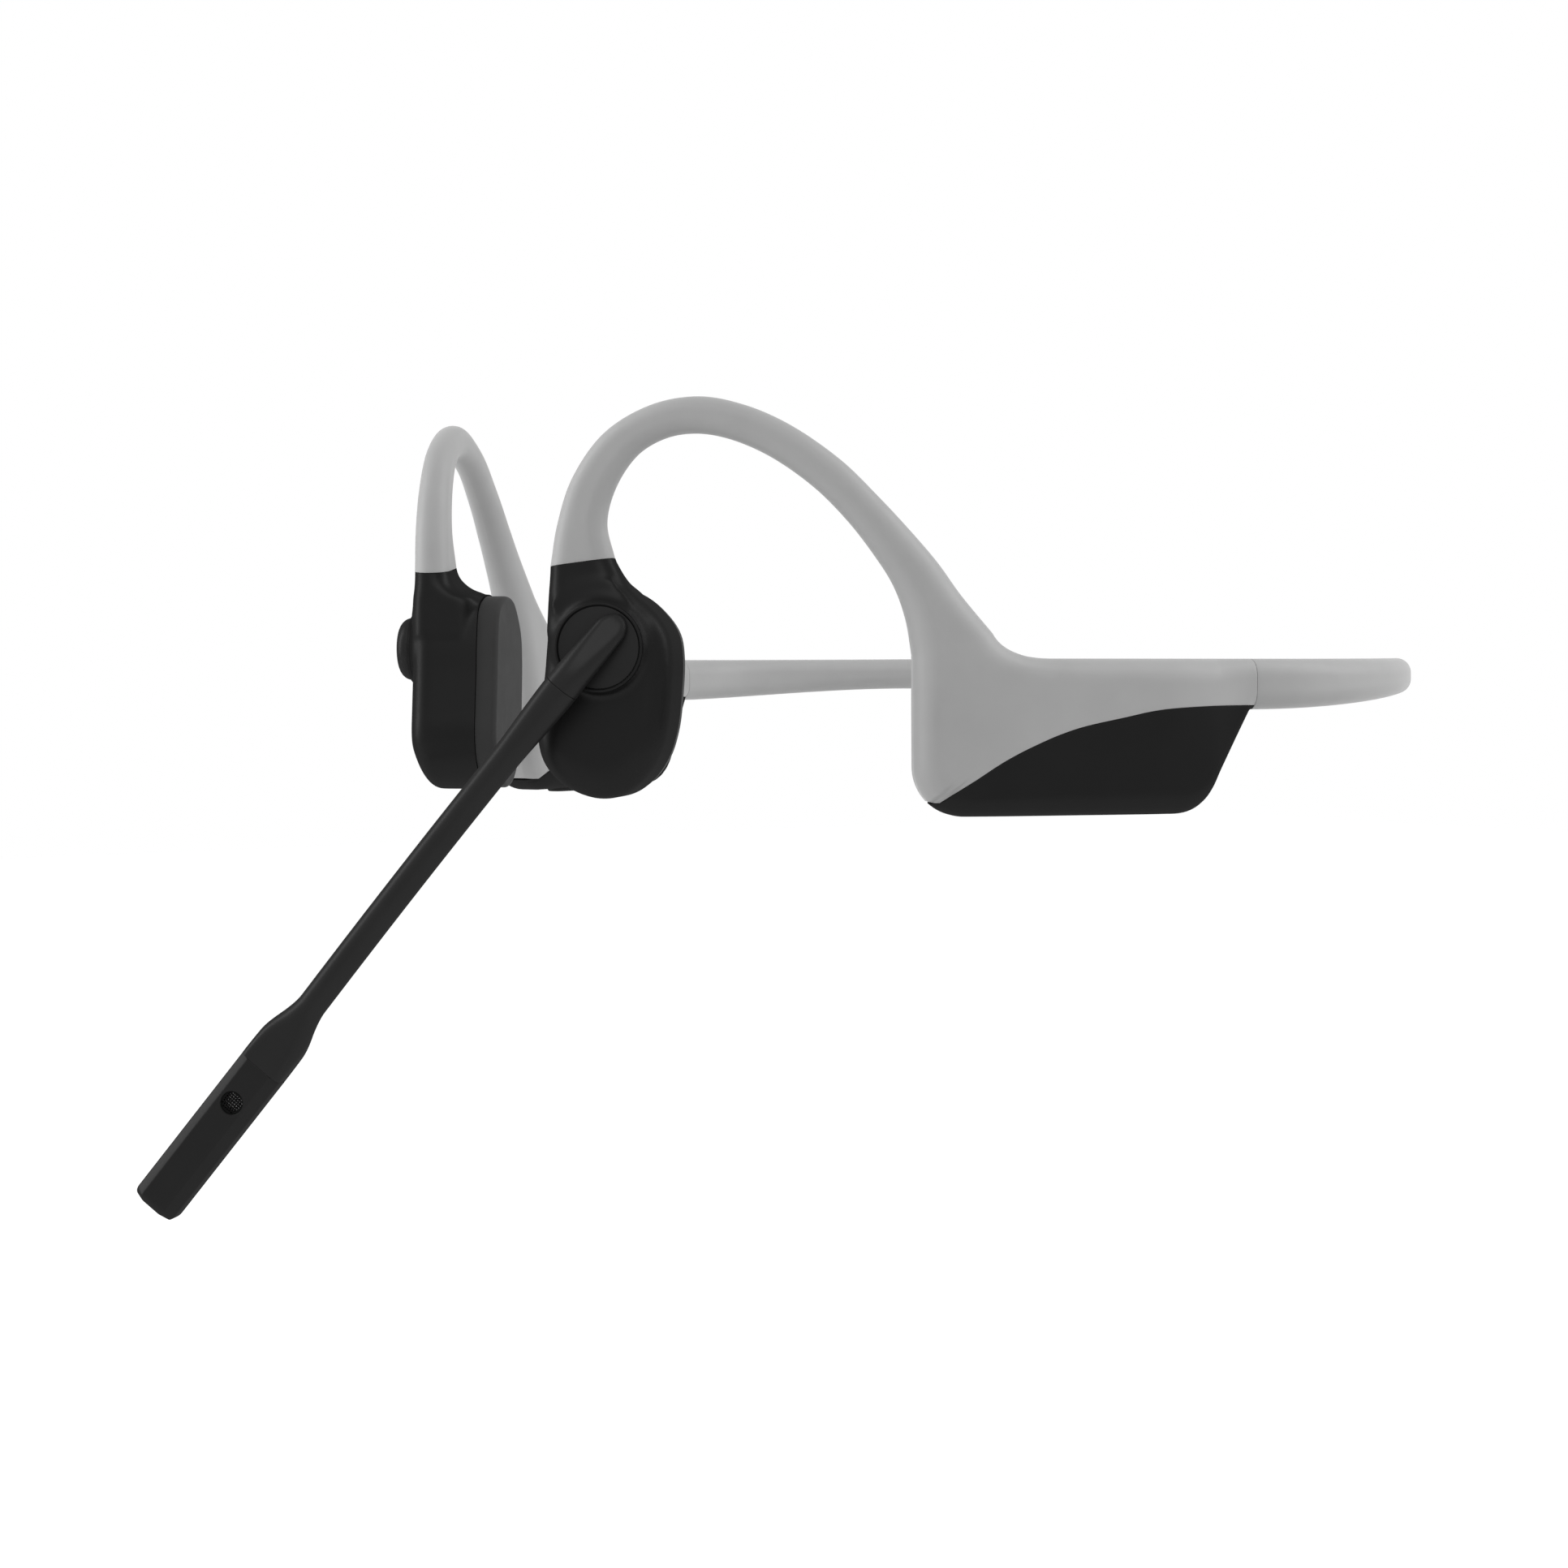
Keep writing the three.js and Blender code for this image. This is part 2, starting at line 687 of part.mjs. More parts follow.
function bandTube(startAlong, rise, radius) {
  return bandSweep(startAlong, (along, { level }) => (
    circleRing(new THREE.Vector3(along, level + rise, 0), up, radius)));
}

function boreRing(along, level) {
  const centre = new THREE.Vector3(along, level, 0);
  return roundedRing(centre, up, boreHeight / 2, boreHalfWidth, boreHalfWidth / 2, 1);
}

function armSleeve() {
  const outlet = [hollowRear - overrun, boxEnd + overrun].map((along) => boreRing(along, bandMiddle));
  return combine(armBody(), [], [
    underSeam(0),
    boxHollow(),
    hookWire(wireRadius + gap, overrun),
    loft(outlet),
  ]);
}

function boxCover(joined = [], cut = []) {
  const shell = combine(armBody(), [], [boxHollow()]);
  return combine(common(shell, underSeam(gap)), joined, cut);
}

function neckband() {
  const sleeve = bandSweep(boxEnd + gap, (along, { level, height, thickness }) => {
    const centre = new THREE.Vector3(along, level, 0);
    return roundedRing(centre, up, height / 2, thickness / 2, thickness / 2);
  });
  const bore = bandSweep(boxEnd - overrun, (along, { level }) => boreRing(along, level));
  const ends = hollowRear - wireAnchor;
  add(headphones, 'neckband_sleeve', combine(sleeve, [], [bore]), greySilicone());
  add(headphones, 'neckband_wire', bandTube(ends, wireRise, wireRadius), springSteel());
  add(headphones, 'neckband_lead', bandTube(ends, leadRise, leadRadius), darkTrim());
}

// Pods. The outline is a closed curve through shares of half the pod's width and height.
const podOutlineShares = [
  [1, 0.348], [0.94, 0.577], [0.74, 0.77], [0.38, 0.955], [-0.04, 1], [-0.44, 0.96],
  [-0.77, 0.84], [-0.9, 0.58], [-0.96, 0.2], [-1.03, -0.15], [-1.07, -0.43], [-0.97, -0.67],
  [-0.7, -0.86], [-0.35, -0.97], [-0.04, -1], [0.29, -0.95], [0.56, -0.82], [0.78, -0.62],
  [0.915, -0.35], [0.98, 0],
];
const podMiddle = new THREE.Vector2(-podCentreReach, podHeight / 2 - podBottomDrop);
const podCurve = new THREE.CatmullRomCurve3(podOutlineShares.map(([x, y]) => new THREE.Vector3(
  podMiddle.x + x * podWidth / 2, podMiddle.y + y * podHeight / 2, 0)), true);
const podFootShare = 0.5; // of half the pod's height, where the rounder bottom begins
const faceSteps = 3;

function podRing(inset, level, footInset = inset) {
  return Array.from({ length: podSides }, (unused, i) => {
    const share = i / podSides;
    const tangent = podCurve.getTangentAt(share);
    const inward = new THREE.Vector3(-tangent.y, tangent.x, 0).normalize();
    const point = podCurve.getPointAt(share);
    const low = smoothstep((podMiddle.y - point.y) / (podHeight / 2), podFootShare, 1);
    return point.addScaledVector(inward, lerp(inset, footInset, low)).setZ(level);
  });
}

function podBody() {
  const rings = [podRing(0, -podPadSeamIn)];
  for (let step = 0; step <= faceSteps; step += 1) {
    const angle = step / faceSteps * Math.PI / 2;
    const inset = 1 - Math.cos(angle);
    const level = podFaceOut - podFaceRadius * (1 - Math.sin(angle));
    rings.push(podRing(podFaceRadius * inset, level, podFootRadius * inset));
  }
  return loft(rings);
}

// Neck between sleeve and pod. Each station gives its shares of the way down the neck, of the way
// back to the pod's rear edge, and of the growth from the sleeve's thickness to the pod's.
const neckStationShares = [
  [0, 0, 0], [0.12, 0.08, 0.06], [0.22, 0.14, 0.22], [0.31, 0.2, 0.48], [0.38, 0.26, 0.85],
  [0.47, 0.38, 0.97], [0.7, 0.6, 0.97], [1, 0.64, 0.97],
];
const neckFrontShares = [-0.92, 0.56]; // where its front edge meets the pod's outline

function podNeck(raised = 0) {
  const [top, front] = [foot.from, foot.to].map((point) => point.clone().addScaledVector(footAxis, gap));
  const podRear = podMiddle.x + podWidth / 2;
  const frontEnd = new THREE.Vector3(
    podMiddle.x + neckFrontShares[0] * podWidth / 2,
    podMiddle.y + neckFrontShares[1] * podHeight / 2,
    0,
  );
  return loft(neckStationShares.map(([down, back, grow]) => {
    const rear = new THREE.Vector3(lerp(top.x, podRear, back), lerp(top.y, frontEnd.y, down), 0);
    const edge = front.clone().lerp(frontEnd, down);
    const low = lerp(-seamInset - hookThickness / 2, -podPadSeamIn, grow);
    const high = lerp(-seamInset + hookThickness / 2, podFaceOut, grow) + raised;
    const centre = rear.clone().lerp(edge, 0.5).setZ((low + high) / 2);
    const direction = edge.clone().sub(rear);
    const half = (direction.length() - raised) / 2;
    return roundedRing(centre, direction.normalize(), half, (high - low) / 2, hookThickness / 2);
  }));
}

const cavityCeiling = podFaceOut - podWall;
const seatFloor = (rise) => podFaceOut + rise - seatDepth;
const hubFloor = seatFloor(hubCollarRise);
const hubTop = podFaceOut + hubCollarRise + hubRise;
const seats = {
  left: { radius: hubRadius, hole: shaftRadius + gap, rise: hubCollarRise },
  right: { radius: buttonRadius, hole: buttonSkirtRadius + gap, rise: buttonCollarRise },
};

function podHollow() {
  return loft([
    podRing(podWall, -podPadSeamIn - overrun),
    podRing(podWall, cavityCeiling - podFaceRadius + podWall),
    podRing(podWall + podFaceRadius / 3, cavityCeiling, podWall + podFootRadius - podFaceRadius / 2),
  ]);
}

// Raised ring that a round piece sits in; its foot flares out into the pod's rounded edge
const collarFlareShares = [[1, -0.33], [0.55, 0], [0.2, 0.25], [0, 0.7]];

function collar({ radius, rise }) {
  const inner = radius + gap;
  const outer = inner + collarWidth;
  const flare = (podWidth - podFaceRadius) / 2 - outer;
  const foot = collarFlareShares.map(([wide, high]) => (
    [outer + flare * wide, podFaceOut + high * (high < 0 ? podFaceRadius : rise)]));
  const top = podFaceOut + rise;
  return turned([
    [0, cavityCeiling], [outer + flare, cavityCeiling], ...foot,
    [outer, top], [inner, top], [inner, seatFloor(rise)], [0, seatFloor(rise)],
  ]);
}

// The neck swells outwards where it meets the collar
const saddleShares = [[1, 0], [0.45, 0.1], [0.15, 0.35], [0, 0.8]];

function neckSaddle({ radius }) {
  const outer = radius + gap + collarWidth;
  const profile = saddleShares.map(([wide, high]) => (
    [outer + podFaceRadius * wide, podFaceOut + high * saddleRise]));
  const swell = turned([[0, cavityCeiling], [outer + podFaceRadius, cavityCeiling], ...profile,
    [0, podFaceOut + saddleRise / 2]]);
  return common(atSeat(swell), podNeck(saddleRise));
}

function atSeat(geometry) {
  return geometry.translate(-seatReach, -seatDrop, 0);
}

function podShell(seat) {
  const top = podFaceOut + seat.rise + overrun;
  const base = combine(podBody(), [podNeck(), neckSaddle(seat)], [podHollow()]);
  return combine(base, [atSeat(collar(seat))], [
    atSeat(disc(seat.hole, cavityCeiling - overrun, top)),
    atSeat(disc(seat.radius + gap, seatFloor(seat.rise), top)),
    hookWire(wireRadius + gap, overrun),
  ]);
}

const padEdgeShares = [[0, 1], [0.3, 0.3], [1, 0]]; // of podPadEdge: inwards and off the face

function podPad() {
  const face = -podPadSeamIn - podPadDepth;
  const edge = padEdgeShares.map(([inwards, off]) => (
    podRing(podPadInset + inwards * podPadEdge, face + off * podPadEdge)));
  return loft([podRing(podPadInset, -podPadSeamIn - gap), ...edge]);
}

// Transducer: a frame under the pad, a leaf spring on it, and a magnet inside a coil
function transducer(side) {
  const at = [podMiddle.x - transducerForward, podMiddle.y, 0];
  const frameLow = -podPadSeamIn;
  const frameTop = frameLow + frameThickness;
  const springLow = frameTop + gap;
  const magnetLow = springLow + springThickness + gap;
  const sized = (extra, round, shape) => (
    roundedRectangle(2 * (magnetHalfWidth + extra), 2 * (magnetHalfHeight + extra), round, shape));
  const ring = (inner, low, high) => {
    const shape = sized(gap + coilWidth, transducerRadius);
    shape.holes.push(sized(inner, coilWidth / 2, new THREE.Path()));
    return plate(shape, low, high);
  };
  const leaf = sized(gap + coilWidth, transducerRadius);
  for (const row of [-1, 1]) {
    const slot = roundedRectangle(2 * magnetHalfWidth, coilWidth / 2, coilWidth / 5, new THREE.Path());
    leaf.holes.push(new THREE.Path(slot.getPoints(2).map((point) => (
      new THREE.Vector2(point.x, point.y + row * magnetHalfHeight)))));
  }
  const magnet = sized(0, coilWidth / 2);
  const put = (name, geometry, material) => (
    addSide(side, 'pod', `${side}_transducer_${name}`, geometry, material, at));
  put('frame', ring(-coilWidth, frameLow, frameTop), darkTrim());
  put('spring', plate(leaf, springLow, springLow + springThickness), springSteel());
  put('magnet', plate(magnet, magnetLow, magnetLow + magnetThickness), magnetGrey());
  put('coil', ring(gap, magnetLow, magnetLow + coilThickness), copper());
}

function pod(side) {
  addSide(side, 'pod', `${side}_pod_shell`, podShell(seats[side]), blackShell());
  addSide(side, 'pod', `${side}_pod_pad`, podPad(), softPad());
  transducer(side);
}

// Boom: its frame runs from the hub along the boom, with the outward axis kept
const boomFrame = new THREE.Group();
boomFrame.position.set(-seatReach, -seatDrop, 0);
boomFrame.rotation.z = Math.PI + radians(boomAngle);
frames.left.pod.add(boomFrame);
const armLevel = hubTop + armHalfThickness;
const stemStart = armLength + gap / 2;
const stemEnd = boomLength - headLength;
const shaftEnd = cavityCeiling - 3 * gap / 2 - washerThickness - gap / 2;

function stemArch(along) {
  const share = clamp((along - armLength) / (stemEnd - armLength), 0, 1);
  const shift = smoothstep(along, stemEnd - flareLength, stemEnd);
  return -stemBow * Math.sin(Math.PI * share) - headShift * shift;
}

function boomRing(along, halfWidth, halfThickness, level = armLevel, radius = armHalfWidth) {
  const centre = new THREE.Vector3(along, stemArch(along), level);
  return roundedRing(centre, up, halfWidth, halfThickness, radius);
}

// Hub with the capsule-shaped arm across its disc. Tail shares: of armTail, of the arm's half
// width and of its half thickness.
const armTailShares = [[1, 0.25, 0.3], [0.92, 0.6, 0.62], [0.75, 0.85, 0.86], [0.5, 1, 1]];

function boomHub() {
  const edge = hubRise / 2;
  const base = turned([
    [0, shaftEnd], [shaftRadius, shaftEnd], [shaftRadius, hubFloor + gap],
    [hubRadius, hubFloor + gap], [hubRadius, hubTop - edge], [hubRadius - edge, hubTop],
    [0, hubTop],
  ]);
  const seat = armLevel - gap / 2;
  const tail = armTailShares.map(([share, wide, thick]) => boomRing(
    -armTail * share,
    armHalfWidth * wide,
    armHalfThickness * thick,
    seat - armHalfThickness * (1 - thick),
  ));
  const end = boomRing(armLength - gap / 2, armHalfWidth, armHalfThickness, seat);
  const bore = disc(pinRadius + gap, shaftEnd - overrun, hubFloor + pinGrip, smallSides);
  add(boomFrame, 'boom_hub', combine(base, [loft([...tail, end])], [bore]), darkTrim());
}

function boomPivot() {
  const washerTop = cavityCeiling - gap;
  const washerLow = washerTop - washerThickness;
  const clipTop = shaftEnd - gap;
  const clipLow = clipTop - clipThickness;
  const headTop = clipLow - gap;
  const pinTop = hubFloor + pinGrip - gap;
  const put = (name, geometry) => add(boomFrame, `boom_${name}`, geometry, springSteel());
  put('friction_washer', washer(shaftRadius + gap, washerRadius, washerLow, washerTop));
  put('retaining_clip', washer(pinRadius + gap, clipRadius, clipLow, clipTop, smallSides));
  put('pivot_pin', turned([
    [0, headTop - pinHeadThickness], [pinHeadRadius, headTop - pinHeadThickness],
    [pinHeadRadius, headTop], [pinRadius, headTop], [pinRadius, pinTop], [0, pinTop],
  ], smallSides));
}

// Bendable stem: it thins from the arm's section and flares into the microphone housing's
const flareFullShare = 0.65;

function stemSection(along) {
  const slim = smoothstep(along, armLength, stemTaperEnd);
  const flare = (along - stemEnd + flareLength) / flareLength;
  const swell = smoothstep(flare, 0, flareFullShare);
  return {
    width: lerp(lerp(armHalfWidth, stemHalfWidth, slim), headHalfWidth, swell),
    thickness: lerp(lerp(armHalfThickness, stemHalfWidth, slim), headHalfThickness, swell),
    corner: lerp(armHalfWidth, headBevel, smoothstep(flare, 0, 1)),
  };
}

function coreRod(radius, extra) {
  const start = stemStart + coreWireRadius - extra;
  const end = stemEnd - coreWireRadius + extra;
  return loft(Array.from({ length: coreRungCount }, (unused, i) => {
    const along = lerp(start, end, i / (coreRungCount - 1));
    return circleRing(new THREE.Vector3(along, stemArch(along), armLevel), up, radius);
  }));
}

function boomStem() {
  const flareStart = stemEnd - flareLength;
  const half = stemRungCount / 2;
  const places = Array.from({ length: stemRungCount + 1 }, (unused, i) => (i < half
    ? lerp(stemStart, flareStart, i / half)
    : lerp(flareStart, stemEnd - gap / 2, (i - half) / half)));
  const rings = places.map((along) => {
    const { width, thickness, corner } = stemSection(along);
    return boomRing(along, width, thickness, armLevel, corner);
  });
  const bore = coreRod(coreWireRadius + gap, overrun);
  add(boomFrame, 'boom_stem', combine(loft(rings), [], [bore]), darkTrim());
  add(boomFrame, 'boom_core_wire', coreRod(coreWireRadius, 0), copper());
}

// Microphone housing: a box with bevelled long edges that narrows a little at its tip
function bevelledRing(along, halfWidth, halfThickness, bevel) {
  const corners = [[1, 1], [-1, 1], [-1, -1], [1, -1]];
  return corners.flatMap(([y, z], i) => {
    const flat = [y * (halfWidth - bevel), z * halfThickness];
    const edge = [y * halfWidth, z * (halfThickness - bevel)];
    const pair = i % 2 === 0 ? [edge, flat] : [flat, edge];
    return pair.map(([a, b]) => new THREE.Vector3(along, a - headShift, armLevel + b));
  });
}

const tipShares = [[2, 0], [0.5, 0.4], [0, 1]]; // of headTipTaper: back from the tip, inwards

function micHead() {
  const start = stemEnd + gap / 2;
  const tip = tipShares.map(([back, inwards]) => bevelledRing(
    boomLength - back * headTipTaper,
    headHalfWidth - inwards * headTipTaper,
    headHalfThickness - inwards * headTipTaper,
    headBevel,
  ));
  const body = loft([bevelledRing(start, headHalfWidth, headHalfThickness, headBevel), ...tip]);
  const hollowLength = micBoardLength + 2 * gap;
  const cavityHalf = headHalfThickness - headWall;
  const hollow = block(hollowLength + overrun, micBoardWidth + 2 * gap, 2 * cavityHalf)
    .translate(start + (hollowLength - overrun) / 2, -headShift, armLevel);
  const port = stemEnd + portReach;
  const mouth = armLevel + headHalfThickness;
  const portCut = disc(portRadius, armLevel, mouth + overrun, smallSides)
    .translate(port, -headShift, 0);
  const boardLevel = armLevel - cavityHalf + gap + micBoardThickness / 2;
  const capsuleLevel = boardLevel + micBoardThickness / 2 + gap + capsuleHeight / 2;
  const board = block(micBoardLength, micBoardWidth, micBoardThickness);
  const capsule = block(capsuleLength, capsuleWidth, capsuleHeight);
  add(boomFrame, 'mic_housing', combine(body, [], [hollow, portCut]), blackShell());
  add(boomFrame, 'mic_board', board, boardGreen(),
    [start + gap + micBoardLength / 2, -headShift, boardLevel]);
  add(boomFrame, 'mic_capsule', capsule, foil(), [port, -headShift, capsuleLevel]);
  add(boomFrame, 'mic_grille', micGrille(mouth - gap), darkTrim(), [port, -headShift, 0]);
}

// Round grille with square openings in a grid
function micGrille(top) {
  const radius = portRadius - gap / 2;
  const opening = grillePitch - grilleBar;
  const reach = Math.floor(radius / grillePitch);
  const cuts = [];
  for (let row = -reach; row <= reach; row += 1) {
    for (let column = -reach; column <= reach; column += 1) {
      const x = column * grillePitch;
      const y = row * grillePitch;
      if (Math.hypot(Math.abs(x) + opening / 2, Math.abs(y) + opening / 2) < radius - grilleBar) {
        cuts.push(block(opening, opening, 3 * grilleThickness).translate(x, y, top));
      }
    }
  }
  return combine(disc(radius, top - grilleThickness, top, smallSides), [], cuts);
}

// Function button with its seal, switch and switch board. Dome shares: of the way in from the
// button's edge to its flat face, and of its height above the rim's underside.
const domeShares = [[0, 0.3], [0.08, 0.55], [0.3, 0.8], [0.6, 0.94], [1, 1]];

function functionButton() {
  const put = (name, geometry, material) => (
    addSide('right', 'pod', name, geometry, material, [-seatReach, -seatDrop, 0]));
  const sealLow = seatFloor(buttonCollarRise) + gap;
  const sealTop = sealLow + sealThickness;
  const low = sealLow + buttonTravel;
  const rim = sealTop + buttonTravel + gap / 2;
  const high = podFaceOut + buttonProud;
  const stemLow = cavityCeiling - gap;
  const inner = buttonRadius - sealWidth;
  const dome = domeShares.map(([inwards, rise]) => (
    [lerp(buttonRadius, buttonFaceRadius, inwards), lerp(rim, high, rise)]));
  put('function_button', turned([
    [0, stemLow], [buttonSkirtRadius, stemLow], [buttonSkirtRadius, low], [inner - gap, low],
    [inner - gap, rim], [buttonRadius, rim], ...dome, [0, high],
  ]), darkTrim());
  put('function_button_seal', washer(inner, buttonRadius, sealLow, sealTop), softPad());
  const switchTop = stemLow - buttonTravel - gap / 2;
  const switchLow = switchTop - switchHeight;
  const boardTop = switchLow - gap;
  const board = disc(switchBoardRadius, boardTop - switchBoardThickness, boardTop);
  put('function_switch', disc(switchRadius, switchLow, switchTop, smallSides), springSteel());
  put('function_switch_board', board, boardGreen());
}

// Left box: battery, its board and a flat antenna coil under the outer wall
function batterySide() {
  const [batteryStart, batteryLength, coilPlateLength, packBoardLength] = [
    batteryStartShare, batteryShare, coilPlateShare, packBoardShare,
  ].map((share) => share * boxLength);
  const put = (name, geometry, material, at) => add(frames.left.box, name, geometry, material, at);
  const coilTop = hollowHalf - gap;
  const cellHigh = coilTop - coilPlateThickness - gap;
  const cellLow = -hollowHalf + gap;
  const cellDepth = cellHigh - cellLow;
  const bottom = hollowFloor + gap;
  const middle = boxFront + batteryStart + batteryLength / 2;
  const cell = plate(roundedRectangle(batteryLength, batteryHeight, cellRadius), cellLow, cellHigh);
  put('battery', cell, foil(), [middle, bottom + batteryHeight / 2, 0]);
  const boardLevel = bottom + batteryHeight + gap + packBoardThickness / 2;
  const board = block(packBoardLength, packBoardThickness, cellDepth);
  put('battery_board', board, boardGreen(), [middle, boardLevel, cellLow + cellDepth / 2]);
  const coil = roundedRectangle(coilPlateLength, coilPlateHeight, coilPlateBand);
  const [holeLength, holeHeight] = [coilPlateLength, coilPlateHeight].map((size) => (
    size - 2 * coilPlateBand));
  coil.holes.push(roundedRectangle(holeLength, holeHeight, coilPlateBand / 2, new THREE.Path()));
  const coilLevel = bottom + coilPlateHeight / 2;
  put('antenna_coil', plate(coil, coilTop - coilPlateThickness, coilTop), copper(), [middle, coilLevel, 0]);
  addArm('left', 'battery_cover', boxCover(), blackShell());
}

// Right box: main board on two rails, volume buttons below, charging contacts inside
const volumeNames = ['volume_up', 'volume_down'];
const contactNames = ['charging_contact_positive', 'charging_contact_negative'];

function controlSide() {
  const [boardStart, boardLength, railLength, canStart, canLength, contactStart] = [
    boardStartShare, boardShare, railShare, canStartShare, canShare, contactStartShare,
  ].map((share) => share * boxLength);
  const [volumeMargin, volumeLength, volumePitch] = [
    volumeMarginShare, volumeShare, volumePitchShare,
  ].map((share) => share * boxLength);
  const put = (name, geometry, material, at) => (
    addSide('right', 'box', name, geometry, material, at));
  const flangeLow = hollowFloor + gap;
  const switchLow = flangeLow + volumeFlange + volumeTravel + gap / 2;
  const boardBottom = switchLow + volumeSwitchHeight + gap;
  const boardFront = boxFront + boardStart;
  const boardLevel = boardBottom + boardHeight / 2;
  const canLevel = boardThickness / 2 + gap + canThickness / 2;
  put('main_board', block(boardLength, boardHeight, boardThickness), boardGreen(),
    [boardFront + boardLength / 2, boardLevel, 0]);
  put('radio_can', block(canLength, canHeight, canThickness), foil(),
    [boardFront + canStart + canLength / 2, boardLevel, canLevel]);
  const cuts = [];
  const firstVolume = boardFront + railLength + volumeMargin + volumeFlange + volumeLength / 2;
  const capLow = boxBottom - volumeProud;
  const capHeight = flangeLow + volumeFlange / 2 - capLow;
  volumeNames.forEach((name, i) => {
    const centre = firstVolume + i * volumePitch;
    const cap = block(volumeLength, capHeight, volumeWidth).translate(0, capLow + capHeight / 2, 0);
    const flange = block(volumeLength + 2 * volumeFlange, volumeFlange, volumeWidth + 2 * volumeFlange)
      .translate(0, flangeLow + volumeFlange / 2, 0);
    const dome = block(volumeSwitchLength, volumeSwitchHeight, volumeWidth);
    put(`${name}_button`, combine(cap, [flange], []), darkTrim(), [centre, 0, 0]);
    put(`${name}_switch`, dome, springSteel(), [centre, switchLow + volumeSwitchHeight / 2, 0]);
    cuts.push(block(volumeLength + 2 * gap, 2 * boxWall, volumeWidth + 2 * gap)
      .translate(centre, boxBottom + boxWall / 2, 0));
  });
  const contactLevel = boxBottom + contactRise;
  const seat = gap - hollowHalf;
  contactNames.forEach((name, i) => {
    const along = boxFront + contactStart + i * contactPitch;
    put(name, turned([
      [0, -boxThickness / 2], [contactRadius, -boxThickness / 2], [contactRadius, seat],
      [contactRadius + contactFlange, seat],
      [contactRadius + contactFlange, seat + contactFlange], [0, seat + contactFlange],
    ], smallSides), gold(), [along, contactLevel, 0]);
    cuts.push(disc(contactRadius + gap, -boxThickness, 0, smallSides).translate(along, contactLevel, 0));
  });
  const magnet = block(chargeMagnetLength, 2 * contactRadius, chargeMagnetThickness);
  put('charging_magnet', magnet, magnetGrey(),
    [boxFront + contactStart + contactPitch / 2, contactLevel, seat + chargeMagnetThickness / 2]);
  const upright = (geometry) => geometry.rotateX(-Math.PI / 2);
  const ledAt = [boardFront + boardLength - railLength - 2 * gap - ledRadius, boxBottom, 0];
  const pipe = upright(disc(ledRadius, 0, boardBottom - gap - boxBottom, smallSides));
  put('led_light_pipe', pipe, clearPipe(), ledAt);
  cuts.push(upright(disc(ledRadius + gap, -overrun, boxWall + overrun, smallSides)).translate(...ledAt));
  const railLow = hollowFloor - boxWall / 2;
  const railHeight = boardBottom - gap - railLow;
  const rails = [boardFront, boardFront + boardLength - railLength].map((along) => (
    block(railLength, railHeight, railThickness)
      .translate(along + railLength / 2, railLow + railHeight / 2, 0)));
  addArm('right', 'control_cover', boxCover(rails, cuts), blackShell());
}

for (const side of ['left', 'right']) {
  addArm(side, `${side}_arm_sleeve`, armSleeve(), greySilicone());
  addArm(side, `${side}_hook_wire`, hookWire(wireRadius, 0), springSteel());
  pod(side);
}
neckband();
boomHub();
boomPivot();
boomStem();
micHead();
functionButton();
batterySide();
controlSide();

export default headphones;
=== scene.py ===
import json
import math

import bpy
import numpy as np
from mathutils import Matrix, Vector


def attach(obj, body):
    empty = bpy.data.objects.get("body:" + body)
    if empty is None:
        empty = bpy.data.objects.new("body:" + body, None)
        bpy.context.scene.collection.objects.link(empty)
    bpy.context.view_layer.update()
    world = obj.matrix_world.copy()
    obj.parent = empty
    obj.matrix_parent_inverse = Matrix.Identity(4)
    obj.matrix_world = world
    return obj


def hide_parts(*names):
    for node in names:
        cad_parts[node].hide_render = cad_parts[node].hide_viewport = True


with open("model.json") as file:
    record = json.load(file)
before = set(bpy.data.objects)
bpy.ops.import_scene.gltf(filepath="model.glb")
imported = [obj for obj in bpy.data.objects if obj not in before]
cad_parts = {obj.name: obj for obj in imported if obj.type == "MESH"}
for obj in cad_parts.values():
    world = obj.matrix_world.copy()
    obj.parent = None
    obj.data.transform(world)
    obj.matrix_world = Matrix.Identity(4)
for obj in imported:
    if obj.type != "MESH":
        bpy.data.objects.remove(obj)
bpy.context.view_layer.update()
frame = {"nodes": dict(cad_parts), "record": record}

# All sizes are in millimetres, and turn into metres where a mesh is made
METRES = 0.001

# Layout of the frame, seen from above
CROWN_HALF_SPACING = 31.75
HOOK_TOE = math.radians(46)
BOX_TOE = math.radians(20)
FOLD_LENGTH = 30
NECKBAND_DEPTH = 128.8
NECKBAND_SIDE_HANDLE = 30
NECKBAND_BACK_HANDLE = 45
NECKBAND_RISE = 1
NECKBAND_RISE_SHARE = 0.42
NECKBAND_SLIM_SHARE = 0.4

# Seams
SEAM = 0.03          # open width between two visible pieces
LIP = 0.08           # rounding of an edge at a seam
TONGUE = 0.7         # depth by which one rim reaches into the other
TONGUE_FADE = 4      # height of a section below which its tongue grows shallower
FLAT_LIP = 0.05      # rounding at the middle of a section that has no seam
OVERRUN = 1          # reach of a cutter past what it cuts

# Ear hook sleeve
HOOK_WIDTH = 4.9
HOOK_THICKNESS = 5
HOOK_LENGTH = 95
FOOT_AXIS_SHARE = 1 / 23
SEAM_INSET = 1.1

